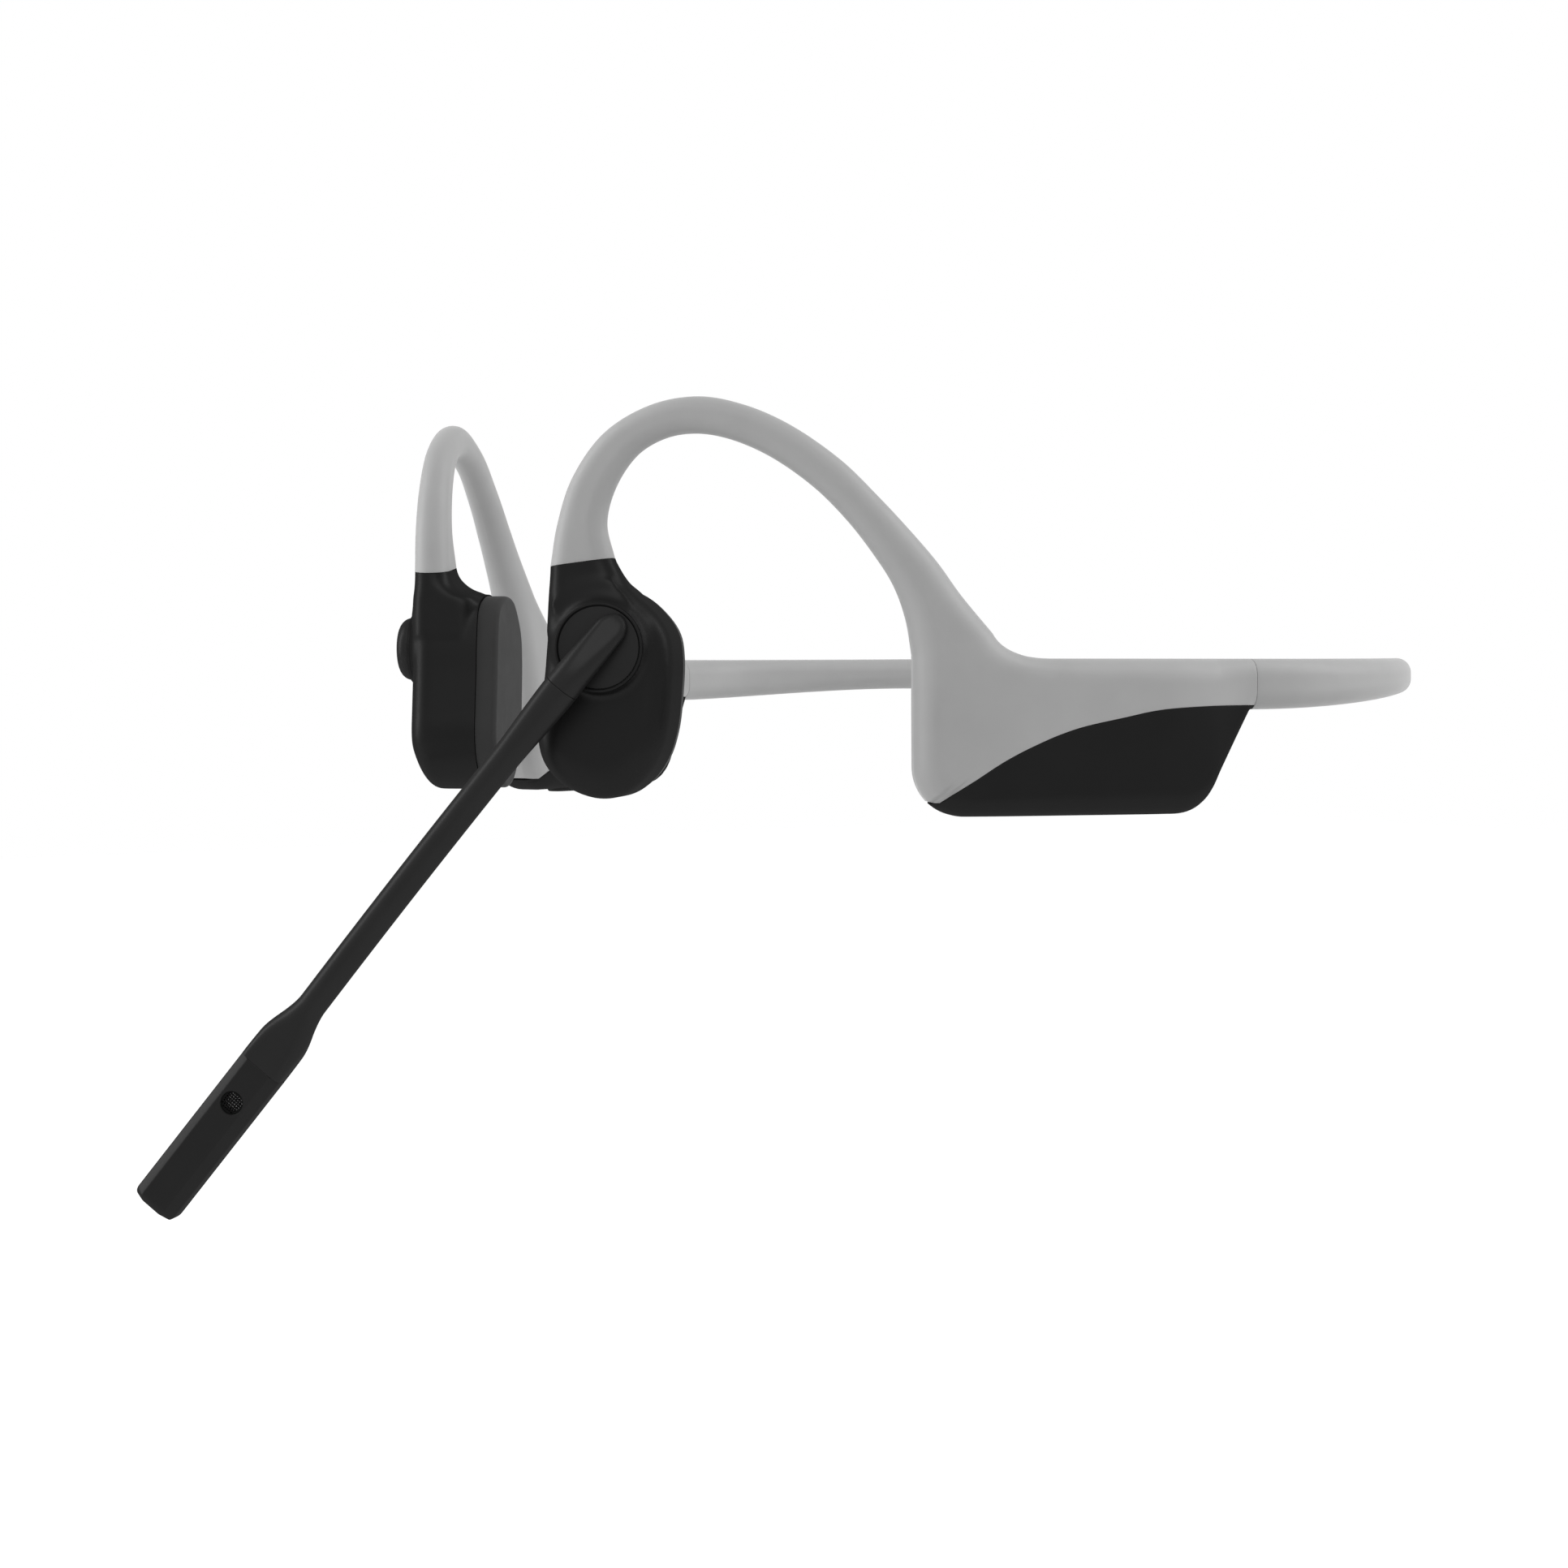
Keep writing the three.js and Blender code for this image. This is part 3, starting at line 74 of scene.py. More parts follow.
# Side boxes
BOX_FRONT = 28.3
BOX_LENGTH = 47.2
BOX_HEIGHT = 20.65
BOX_THICKNESS = 9
BOX_TOP_DROP = 29.45
BOX_WALL = 1.3
BOX_EDGE_RADIUS = 3.2
BOX_FRONT_RADIUS = 6.5
BOX_REAR_RADIUS = 4
BOX_REAR_LEAN = 9.7
BOX_REAR_STEP = 0.5
BOX_LEDGE_ROUND = 0.8
BOX_TOP_SWEEP = 8
BOX_TOP_SWEEP_SHARE = 0.2
BOX_GROW_SHARE = 0.12
BOX_TAPER_SHARE = 0.66
HOLLOW_TAPER_SHARE = 0.75
COVER_FRONT_RISE = 1.9
COVER_LEAST = 0.06
SEAM_LEAD = 1
SEAM_OVERRUN = 5
SLEEVE_LIP_FADE = 1.5
SLEEVE_LIP_LEAST = 0.03

# Neckband
JOINT_HEIGHT = 6.8
JOINT_THICKNESS = 4.8
NECKBAND_HEIGHT = 5.1
NECKBAND_THICKNESS = 4.2

# Pods
POD_WIDTH = 17.65
POD_HEIGHT = 27.9
POD_CENTRE_REACH = 12.575
POD_BOTTOM_DROP = 48.1
POD_FACE_OUT = 1.7
POD_PAD_SEAM_IN = 8.1
POD_PAD_DEPTH = 3
POD_FACE_RADIUS = 3.2
POD_FOOT_RADIUS = 5.4
POD_FOOT_SHARE = 0.5
POD_WALL = 1.3
POD_PAD_INSET = 0.25
POD_PAD_EDGE = 0.7
PAD_SEAM_GAP = 0.02
PAD_SEAM_ROUND = 0.06
PAD_FACE_MARGIN = 0.2
PAD_FACE_STEPS = (1, 2.2, 4)
NECK_OVERRUN = 1.5
NECK_CUT_REACH = 12

# Seats of hub and button
SEAT_DROP = 28
SEAT_REACH = 12.7
HUB_RADIUS = 5.4
COLLAR_WIDTH = 0.5
HUB_COLLAR_RISE = 1.9
BUTTON_COLLAR_RISE = 1.2
SADDLE_RISE = 1.9
SADDLE_FADE_START = 0.5
SADDLE_FADE_END = 0.95
HUB_RISE = 0.4
HUB_SINK = 0.2
SEAT_DEPTH = 1.5
SEAT_GAP = 0.012
SEAT_CUT_LIFT = 0.002
STEM_HOLE_MARGIN = 0.3

# Boom
BOOM_ANGLE = math.radians(51.1)
BOOM_LENGTH = 96.4
ARM_LENGTH = 6.8
ARM_TAIL = 5.2
ARM_HALF_WIDTH = 2.4
ARM_HALF_THICKNESS = 2.1
STEM_HALF_WIDTH = 1.95
STEM_TAPER_END = 20
STEM_BOW = 0.3
STEM_SWELL_SHARE = 0.65
BOOM_LIP = 0.03
HEAD_HALF_WIDTH = 3.25
HEAD_HALF_THICKNESS = 2.3
HEAD_LENGTH = 24.6
HEAD_BEVEL = 0.9
HEAD_BEVEL_WIDTH = 1.35
HEAD_BEVEL_SOFT = 0.16
HEAD_LIP_SHARE = 0.5
HEAD_TIP_TAPER = 0.6
HEAD_SHIFT = 0.15
FLARE_LENGTH = 11
FLARE_CORNER = 1.2 * HEAD_BEVEL
PORT_REACH = 6.1
PORT_RADIUS = 1.55
PORT_DEPTH = 1.7
PORT_EDGE = 0.12
PORT_CUT_LIFT = 0.01
SHAFT_RADIUS = 2.6
SHAFT_END = -0.85
SHAFT_BORE = 1.3
PIN_GRIP = 1.6
HUB_EDGE = 0.03
HUB_LIFT = 0.3
RIDGE_NOSE = 2.4
RIDGE_NOSE_START = 0.12
RIDGE_SLIM = 0.84
RIDGE_LOW = 0.42
RIDGE_RISE_SHARE = 0.85
RIDGE_ROUND = 0.6
GRILLE_DROP = 0.3
GRILLE_THICKNESS = 0.3
GRILLE_PITCH = 0.36
GRILLE_OPENING = 0.23

# Function button
BUTTON_RADIUS = 4.45
BUTTON_FACE_RADIUS = 3.2
BUTTON_PROUD = 3.1
BUTTON_SKIRT_RADIUS = 2.6
BUTTON_STEM_DROP = 0.3
BUTTON_RIM_RISE = 1.35
BUTTON_RIM_DEPTH = 0.55
BUTTON_RIM_WIDTH = 1.2

# Controls and contacts of the right box
BOARD_FRONT = BOX_FRONT + 0.201 * BOX_LENGTH
BOARD_LENGTH = 0.54 * BOX_LENGTH
RAIL_LENGTH = 0.038 * BOX_LENGTH
VOLUME_MARGIN = 0.0125 * BOX_LENGTH
VOLUME_LENGTH = 0.16 * BOX_LENGTH
VOLUME_WIDTH = 3
VOLUME_PITCH = 0.212 * BOX_LENGTH
VOLUME_PROUD = 0.5
VOLUME_FLANGE = 0.6
VOLUME_CLEARANCE = 0.3
VOLUME_EDGE = 0.35
VOLUME_CORNER_SHARE = 0.96
CONTACT_RADIUS = 1.1
CONTACT_EDGE = 0.15
CONTACT_FLANGE = 0.5
CONTACT_START = 0.582 * BOX_LENGTH
CONTACT_PITCH = 4.6
CONTACT_RISE = 7.2
LED_RADIUS = 0.6
LED_EDGE = 0.1
LED_SINK = 0.02

# Mesh density
HOOK_RUNGS = 150
BOX_RUNGS = 150
BAND_RUNGS = 130
NECK_RUNGS = 60
STEM_RUNGS = 150
HEAD_RUNGS = 24
NOSE_RUNGS = 20
HOLLOW_RUNGS = 8
SECTION_POINTS = 22
SECTION_ARC_POINTS = 24
SECTION_LIP_POINTS = 5
CORNER_POINTS = 40
CURVE_POINTS = 30
SHORT_POINTS = 8
SEAM_POINTS = 160
BAND_STEPS = 2001
OUTLINE_POINTS = 800
RIM_POINTS = 6
BEVEL_POINTS = 4
POD_SIDES = 144
ROUND_SIDES = 96
SMALL_SIDES = 48
LED_SIDES = 32
POD_EDGE_STEPS = 12
EDGE_STEPS = 9
VOLUME_EDGE_STEPS = 7
HALVINGS = 40
LEAST_STEP = 1e-6
LEAST_RISE = 1e-4
VOXEL = 0.24
SMOOTH_FACTOR = 0.5
SMOOTH_ROUNDS = 30
SHARP_ANGLE = 35
HUB_SHARP_ANGLE = 30
MIC_SHARP_ANGLE = 25

# Sizes that follow from others
BOX_TOP = -BOX_TOP_DROP
BOX_BOTTOM = BOX_TOP - BOX_HEIGHT
JOINT_BOTTOM = BOX_TOP - JOINT_HEIGHT
BOX_END = BOX_FRONT + BOX_LENGTH

# The rounding of an edge at a seam: shares of its length, and how far each is drawn in
LIP_SHARES = np.array([0, 0.08, 0.3, 0.65, 1])
LIP_INSETS = LIP * (1 - np.sqrt(1 - (1 - LIP_SHARES) ** 2))


# Curves
def smoothstep(value, low, high):
    """0 below low, 1 above high and a smooth rise between them"""
    share = np.clip((value - low) / (high - low), 0, 1)
    return share * share * (3 - 2 * share)


def lerp(low, high, share):
    return low + (high - low) * share


def distances(path):
    """Distance along a broken line at each of its points"""
    steps = np.linalg.norm(np.diff(path, axis=0), axis=1)
    return np.concatenate([[0], np.cumsum(steps)])


def at_distances(path, places):
    length = distances(path)
    return np.stack([np.interp(places, length, path[:, k]) for k in range(path.shape[1])], 1)


def at_shares(path, shares):
    """Points of a broken line at shares of its length"""
    return at_distances(path, shares * distances(path)[-1])


def resampled(path, count):
    """count points at equal distances along a broken line"""
    return at_distances(path, np.linspace(0, distances(path)[-1], count))


def catmull(points, shares, closed=False):
    """Centripetal Catmull-Rom curve through points, at shares of its run of points"""
    points = np.asarray(points, float)
    runs = len(points) if closed else len(points) - 1
    before = points[-1] if closed else 2 * points[0] - points[1]
    after = points[:2] if closed else [2 * points[-1] - points[-2]]
    points = np.concatenate([[before], points, after])
    found = []
    for share in shares:
        start = min(int(runs * share), runs - 1)
        rest = runs * share - start
        a, b, c, d = points[start:start + 4]
        steps = [max(np.linalg.norm(q - p) ** 0.5, LEAST_STEP) for p, q in ((a, b), (b, c), (c, d))]
        into = (b - a) / steps[0] - (c - a) / (steps[0] + steps[1]) + (c - b) / steps[1]
        away = (c - b) / steps[1] - (d - b) / (steps[1] + steps[2]) + (d - c) / steps[2]
        into, away = into * steps[1], away * steps[1]
        found.append(
            b + rest * into
            + rest ** 2 * (3 * (c - b) - 2 * into - away)
            + rest ** 3 * (2 * (b - c) + into + away)
        )
    return np.array(found)


def quadratic(start, control, end, count):
    """A quadratic Bezier curve"""
    share = np.linspace(0, 1, count)[:, None]
    start, control, end = (np.asarray(p, float) for p in (start, control, end))
    return (1 - share) ** 2 * start + 2 * share * (1 - share) * control + share ** 2 * end


def arc(centre, radius, start, end, count):
    """An arc between two angles in degrees"""
    angle = np.radians(np.linspace(start, end, count))
    return np.asarray(centre) + radius * np.stack([np.cos(angle), np.sin(angle)], 1)


# Plan of the left half
def heading(angle):
    """Direction in plan, turned outwards from straight back"""
    return np.stack([np.sin(angle), np.cos(angle)], -1)


FOLD_TURN = HOOK_TOE - BOX_TOE
FOLD_RADIUS = FOLD_LENGTH / FOLD_TURN
FOLD_START = BOX_FRONT - FOLD_RADIUS * math.tan(FOLD_TURN / 2)
FOLD_END = FOLD_START + FOLD_LENGTH
HOOK_ORIGIN = np.array([CROWN_HALF_SPACING, 0.0])
FOLD_REACH = FOLD_RADIUS * math.tan(FOLD_TURN / 2) - FOLD_END
BOX_ORIGIN = HOOK_ORIGIN + BOX_FRONT * heading(HOOK_TOE) + FOLD_REACH * heading(BOX_TOE)
JOINT_PLACE = BOX_ORIGIN + BOX_END * heading(BOX_TOE)


def band_table():
    """Points of the neckband's curve in plan, with the distance along it"""
    share = np.linspace(0, 1, BAND_STEPS)[:, None]
    handles = [
        JOINT_PLACE,
        JOINT_PLACE + NECKBAND_SIDE_HANDLE * heading(BOX_TOE),
        np.array([NECKBAND_BACK_HANDLE, NECKBAND_DEPTH]),
        np.array([0.0, NECKBAND_DEPTH]),
    ]
    rest = 1 - share
    weights = [rest ** 3, 3 * share * rest ** 2, 3 * share ** 2 * rest, share ** 3]
    points = sum(weight * handle for weight, handle in zip(weights, handles))
    tangent = np.gradient(points, axis=0)
    return points, distances(points), np.arctan2(tangent[:, 0], tangent[:, 1])


BAND_POINTS, BAND_PLACES, BAND_ANGLES = band_table()
BAND_LENGTH = BAND_PLACES[-1]


def plan(along):
    """Place in plan and heading at distances along arm and neckband"""
    turn = np.clip((along - FOLD_START) / FOLD_RADIUS, 0, FOLD_TURN)
    place = HOOK_ORIGIN + np.minimum(along, FOLD_START)[:, None] * heading(HOOK_TOE)
    place = place + (2 * FOLD_RADIUS * np.sin(turn / 2))[:, None] * heading(HOOK_TOE - turn / 2)
    place = place + (np.clip(along, FOLD_END, BOX_END) - FOLD_END)[:, None] * heading(BOX_TOE)
    angle = HOOK_TOE - turn
    behind = along - BOX_END
    on_band = behind > 0
    place = np.where(on_band[:, None], at_distances(BAND_POINTS, behind), place)
    return place, np.where(on_band, np.interp(behind, BAND_PLACES, BAND_ANGLES), angle)


def wrap(points):
    """Bends points drawn flat (along the arm, up, outwards) onto the plan"""
    points = np.asarray(points)
    along, up, out = points.reshape(-1, 3).T
    place, angle = plan(along)
    bent = [place[:, 0] + out * np.cos(angle), place[:, 1] - out * np.sin(angle), up]
    return np.stack(bent, 1).reshape(points.shape)


def boomed(points):
    """Places points drawn along the boom, up across it and outwards"""
    cos, sin = math.cos(math.pi + BOOM_ANGLE), math.sin(math.pi + BOOM_ANGLE)
    along, across, out = np.moveaxis(np.asarray(points), -1, 0)
    flat = [-SEAT_REACH + along * cos - across * sin, -SEAT_DROP + along * sin + across * cos, out]
    return wrap(np.stack(flat, -1))


MIRROR = np.array([-1, 1, 1])


def right(points):
    """Places points drawn flat on the right half"""
    return wrap(points) * MIRROR


# Meshes
def linked(name, data):
    """An object of the scene that holds data"""
    obj = bpy.data.objects.new(name, data)
    bpy.context.scene.collection.objects.link(obj)
    return obj


def make(name, points, faces):
    """A mesh object from points in millimetres"""
    mesh = bpy.data.meshes.new(name)
    mesh.from_pydata((points * METRES).tolist(), [], faces)
    mesh.validate()
    turn_outwards(mesh)
    return linked(name, mesh)


def turn_outwards(mesh):
    mesh.calc_loop_triangles()
    points = np.array([vertex.co for vertex in mesh.vertices])
    corners = np.array([triangle.vertices for triangle in mesh.loop_triangles])
    a, b, c = (points[corners[:, k]] for k in range(3))
    if np.einsum("ij,ij->", a, np.cross(b, c)) < 0:
        mesh.flip_normals()


def loft(name, rings):
    """A closed body through rings of points, with flat ends"""
    count = rings.shape[1]
    last = (len(rings) - 1) * count
    faces = [list(range(count))[::-1]]
    for low in range(0, last, count):
        for k in range(count):
            after = (k + 1) % count
            faces.append([low + k, low + after, low + count + after, low + count + k])
    faces.append(list(range(last, last + count)))
    return make(name, rings.reshape(-1, 3), faces)


def turned(name, profile, centre, place, sides=ROUND_SIDES):
    """A closed body turned about the outward axis through centre; profile is (radius, height)"""
    profile = np.asarray(profile, float)
    angle = np.linspace(0, 2 * math.pi, sides, endpoint=False)
    spokes = np.stack([np.cos(angle), np.sin(angle)], 1)
    inner = profile[1:-1]
    points = [[*centre, profile[0][1]]]
    for radius, height in inner:
        points.extend([centre[0] + radius * x, centre[1] + radius * y, height] for x, y in spokes)
    points.append([*centre, profile[-1][1]])
    last = 1 + (len(inner) - 1) * sides
    faces = []
    for k in range(sides):
        after = (k + 1) % sides
        faces.append([0, 1 + after, 1 + k])
        for low in range(1, last, sides):
            faces.append([low + k, low + after, low + sides + after, low + sides + k])
        faces.append([last + k, last + after, len(points) - 1])
    return make(name, place(points), faces)


def rod(radius, low, high):
    """Profile of a round rod"""
    return [[0, low], [radius, low], [radius, high], [0, high]]


def quarter_round(steps):
    """How far a quarter round goes in and lies below its top, as shares of its radius"""
    angles = np.linspace(0, math.pi / 2, steps)
    return [(1 - math.cos(angle), 1 - math.sin(angle)) for angle in angles]


def modified(obj, *modifiers):
    """Applies modifiers, given as (type, settings), and keeps the result"""
    for kind, settings in modifiers:
        modifier = obj.modifiers.new(kind, kind)
        for key, value in settings.items():
            setattr(modifier, key, value)
    graph = bpy.context.evaluated_depsgraph_get()
    result = bpy.data.meshes.new_from_object(obj.evaluated_get(graph))
    obj.modifiers.clear()
    obj.data = result
    return obj


def joined(obj, other, operation):
    """Cuts, adds or intersects obj with other, which is used up"""
    modified(obj, ("BOOLEAN", {"object": other, "operation": operation, "solver": "MANIFOLD"}))
    bpy.data.objects.remove(other)
    return obj


def minus(obj, *cutters):
    for cutter in cutters:
        joined(obj, cutter, "DIFFERENCE")
    return obj


def plus(obj, other):
    return joined(obj, other, "UNION")


def rounded_ends(count):
    """How far the rounding of both ends draws each section in"""
    inset = np.zeros(count)
    inset[:len(LIP_SHARES)] = LIP_INSETS
    inset[-len(LIP_SHARES):] = LIP_INSETS[::-1]
    return inset


# Sections
def half_section(half, across, radius, cut, lip, floor, count=SECTION_POINTS):
    """Half of a rounded section above cut, from the middle of its floor to the middle of its top.
    floor gives points as shares of the half width at the cut and depths into the section."""
    radius = min(radius, half, across)
    low = arc((-half + radius, across - radius), radius, 180, 90, SECTION_ARC_POINTS)
    high = arc((half - radius, across - radius), radius, 90, 0, SECTION_ARC_POINTS)
    side = np.concatenate([low, high[1:]]) if half > radius else np.concatenate([low[:-1], high])
    cut = max(cut, -half)

    def at(level):
        return np.interp(level, side[:, 0], side[:, 1])

    lip = min(lip, (half - cut) / 3, at(cut + lip) / 3)
    foot = at(cut)
    lip_start, lip_end = (cut, max(foot - lip, foot / 2)), (cut + lip, at(cut + lip))
    start = quadratic(lip_start, (cut, foot), lip_end, SECTION_LIP_POINTS)
    rest = np.concatenate([start[-1:], side[side[:, 0] > cut + lip + LEAST_RISE], [[half, 0]]])
    bottom = [[cut + depth, share * foot] for share, depth in floor]
    return np.concatenate([bottom, start[:-1], resampled(rest, count)])


def across_line(along, ring, up=0, out=0):
    """A ring of (level, side) as points across the line that it is drawn along"""
    return np.column_stack([np.full(len(ring), along), up + ring[:, 0], out + ring[:, 1]])


def ring_of(section):
    """A closed ring of (level, side) from its half"""
    return np.concatenate([section, (section * [1, -1])[-2:0:-1]])


# Floors of a section: share of its half width, and depth
GROOVE = [(0, TONGUE), (0.84, TONGUE), (0.85, 0)]
RIB = [(0, -TONGUE * 0.8), (0.8, -TONGUE * 0.8), (0.81, 0)]
FLAT = [(0, 0), (0.4, 0), (0.8, 0)]


# Ear hook and side box
# Stations of the hook from foot to box: inner edge along and down, width, direction of the rung
# as a share of a half turn, thickness, growth towards the box, and inset
HOOK_STATIONS = [
    [-0.407, -0.55, 1.786, 1.04, 1, 0, 1],
    [-0.441, -0.394, 1.367, 1, 0.95, 0, 0.78],
    [-0.396, -0.234, 1.233, 0.931, 0.88, 0, 0.59],
    [-0.286, -0.088, 1.11, 0.821, 0.82, 0, 0.37],
    [-0.148, -0.017, 0.996, 0.642, 0.8, 0, 0.18],
    [-0.007, 0, 1, 0.48, 0.8, 0, 0.05],
    [0.141, -0.024, 0.996, 0.373, 0.82, 0, 0],
    [0.328, -0.1, 1, 0.322, 0.84, 0, 0.16],
    [0.54, -0.241, 1.024, 0.246, 0.9, 0, 0.2],
    [0.693, -0.387, 1.059, 0.189, 0.98, 0.02, 0.12],
    [0.81, -0.53, 1.178, 0.155, 1, 0.08, 0],
    [0.905, -0.672, 1.333, 0.141, 1, 0.22, -0.08],
    [0.965, -0.825, 1.62, 0.117, 1, 0.48, -0.05],
    [0.996, -0.985, 2.2, 0.084, 1, 0.75, 0],
]


def hook_rungs(shares):
    """Rungs across the hook: start, end, thickness and inset of each"""
    along, down, width, turn, thick, grow, inset = np.array(HOOK_STATIONS).T
    direction = np.stack([np.cos(turn * math.pi), np.sin(turn * math.pi)], 1)
    inner = np.stack([along * BOX_FRONT, down * BOX_TOP_DROP], 1)
    outer = inner + (width * HOOK_WIDTH)[:, None] * direction
    section = np.stack([thick * HOOK_THICKNESS, grow, inset], 1)
    start, end, values = (catmull(points, shares) for points in (inner, outer, section))
    thickness = lerp(values[:, 0], BOX_THICKNESS, values[:, 1])
    return np.column_stack([start, end, thickness, values[:, 2]])


def box_rungs(first, shares):
    """Rungs up the box, which go on from the hook's last one"""
    corner = np.array([BOX_FRONT + BOX_FRONT_RADIUS, BOX_BOTTOM + BOX_FRONT_RADIUS])
    rear = BOX_END - BOX_REAR_LEAN + BOX_REAR_RADIUS / 2
    ledge = BOX_END - BOX_REAR_STEP
    slope = np.array([ledge - rear, JOINT_BOTTOM - BOX_BOTTOM])
    slope = slope / np.linalg.norm(slope) * BOX_REAR_RADIUS
    lower = np.concatenate([
        [first[:2], [BOX_FRONT, corner[1]]],
        arc(corner, BOX_FRONT_RADIUS, 180, 270, CORNER_POINTS),
        quadratic([rear - BOX_REAR_RADIUS, BOX_BOTTOM], [rear, BOX_BOTTOM],
                  [rear + slope[0], BOX_BOTTOM + slope[1]], CURVE_POINTS),
        quadratic([ledge - BOX_LEDGE_ROUND / 2, JOINT_BOTTOM - BOX_LEDGE_ROUND], [ledge, JOINT_BOTTOM],
                  [BOX_END, JOINT_BOTTOM], SHORT_POINTS),
    ])
    sweep = first[2]
    upper = np.concatenate([
        quadratic(first[2:4], [sweep + BOX_TOP_SWEEP * BOX_TOP_SWEEP_SHARE, BOX_TOP],
                  [sweep + BOX_TOP_SWEEP, BOX_TOP], CURVE_POINTS),
        [[BOX_END, BOX_TOP]],
    ])
    start, end = at_shares(lower, shares), at_shares(upper, shares)
    grow = np.sin(np.minimum(1, shares / BOX_GROW_SHARE) * math.pi / 2)
    full = lerp(first[4], BOX_THICKNESS, grow)
    thickness = lerp(full, JOINT_THICKNESS, smoothstep(shares, BOX_TAPER_SHARE, 1))
    return np.column_stack([start, end, thickness, np.zeros(len(shares))])


def arm_rungs():
    """All rungs from foot to joint, and how far the rounding of both ends draws each in"""
    foot = LIP * LIP_SHARES / HOOK_LENGTH
    shares = np.concatenate([foot, np.linspace(foot[-1], 1, HOOK_RUNGS)[1:]])
    hook = hook_rungs(shares)
    tail = 1 - LIP * LIP_SHARES[::-1] / BOX_LENGTH
    box = box_rungs(hook[-1], np.concatenate([np.linspace(0, tail[0], BOX_RUNGS)[1:-1], tail]))
    rungs = np.concatenate([hook, box])
    return rungs, rounded_ends(len(rungs))


# Points of the seam between sleeve and cover, as shares of the box's length and height
SEAM_STATIONS = np.array([
    [0.09, 0.135], [0.155, 0.233], [0.233, 0.352], [0.32, 0.455], [0.435, 0.553],
    [0.58, 0.625], [0.688, 0.672], [0.841, 0.695], [1, 0.7],
])


def seam_line():
    """Height of the seam between sleeve and cover, along the box"""
    low = BOX_BOTTOM + COVER_FRONT_RISE
    points = np.array([BOX_FRONT, BOX_BOTTOM]) + SEAM_STATIONS * np.array([BOX_LENGTH, BOX_HEIGHT])
    bend = [[BOX_FRONT + BOX_FRONT_RADIUS / 2, low]]
    curve = catmull(np.concatenate([bend, points]), np.linspace(0, 1, SEAM_POINTS))
    start, end = [[BOX_FRONT - SEAM_OVERRUN, low]], [[BOX_END + SEAM_OVERRUN, points[-1][1]]]
    return np.concatenate([start, curve, end])


SEAM_LINE = seam_line()


def seam_share(rung):
    """Where a rung crosses the seam, as a share of its length, or None"""
    start, end = rung[:2], rung[2:4]

    def above(share):
        place = lerp(start, end, share)
        return place[1] - np.interp(place[0], SEAM_LINE[:, 0], SEAM_LINE[:, 1])

    if rung[0] < BOX_FRONT - SEAM_LEAD or above(0) >= 0:
        return None
    low, high = 0.0, 1.0
    for _ in range(HALVINGS):
        middle = (low + high) / 2
        low, high = (middle, high) if above(middle) < 0 else (low, middle)
    return high


def rung_frame(rung):
    """Middle, direction and half length of a rung"""
    start, end = rung[:2], rung[2:4]
    length = np.linalg.norm(end - start)
    return (start + end) / 2, (end - start) / length, length / 2


def rung_ring(rung, shrink, cut, lip, floor, way=1):
    """A ring of sleeve or cover on its rung, from the cut up or, where way is -1, down"""
    centre, direction, half = rung_frame(rung)
    section = half_section(half - shrink, rung[4] / 2 - shrink, BOX_EDGE_RADIUS, cut, lip, floor)
    ring = ring_of(section * [way, 1])
    flat = centre + ring[:, :1] * direction
    return np.column_stack([flat, ring[:, 1] - SEAM_INSET * rung[5]])


RUNGS, SHRINK = arm_rungs()


def shallower(floor, height):
    """A floor whose depths fade where little height is left for them"""
    fade = min(1, height / TONGUE_FADE)
    return [(share, depth * fade) for share, depth in floor]


def sleeve_rings():
    """Sections of the sleeve, which ends at the seam where there is one"""
    rings = []
    for rung, shrink in zip(RUNGS, SHRINK):
        _, _, half = rung_frame(rung)
        share = seam_share(rung)
        cut = -half if share is None else half * (2 * share - 1)
        lip = LIP * min(1, (cut + half) / SLEEVE_LIP_FADE) + SLEEVE_LIP_LEAST
        rings.append(rung_ring(rung, shrink, cut, lip, shallower(GROOVE, cut + half)))
    return rings


def cover_rings():
    """Sections of the cover, from the seam down to the bottom of the box"""
    rings = []
    for rung, shrink in zip(RUNGS, SHRINK):
        share = seam_share(rung)
        if share is None:
            continue
        _, _, half = rung_frame(rung)
        cut = SEAM - half * (2 * share - 1)
        if half - cut >= COVER_LEAST:
            rings.append(rung_ring(rung, shrink, cut, LIP, shallower(RIB, half - shrink - cut), -1))
    return rings


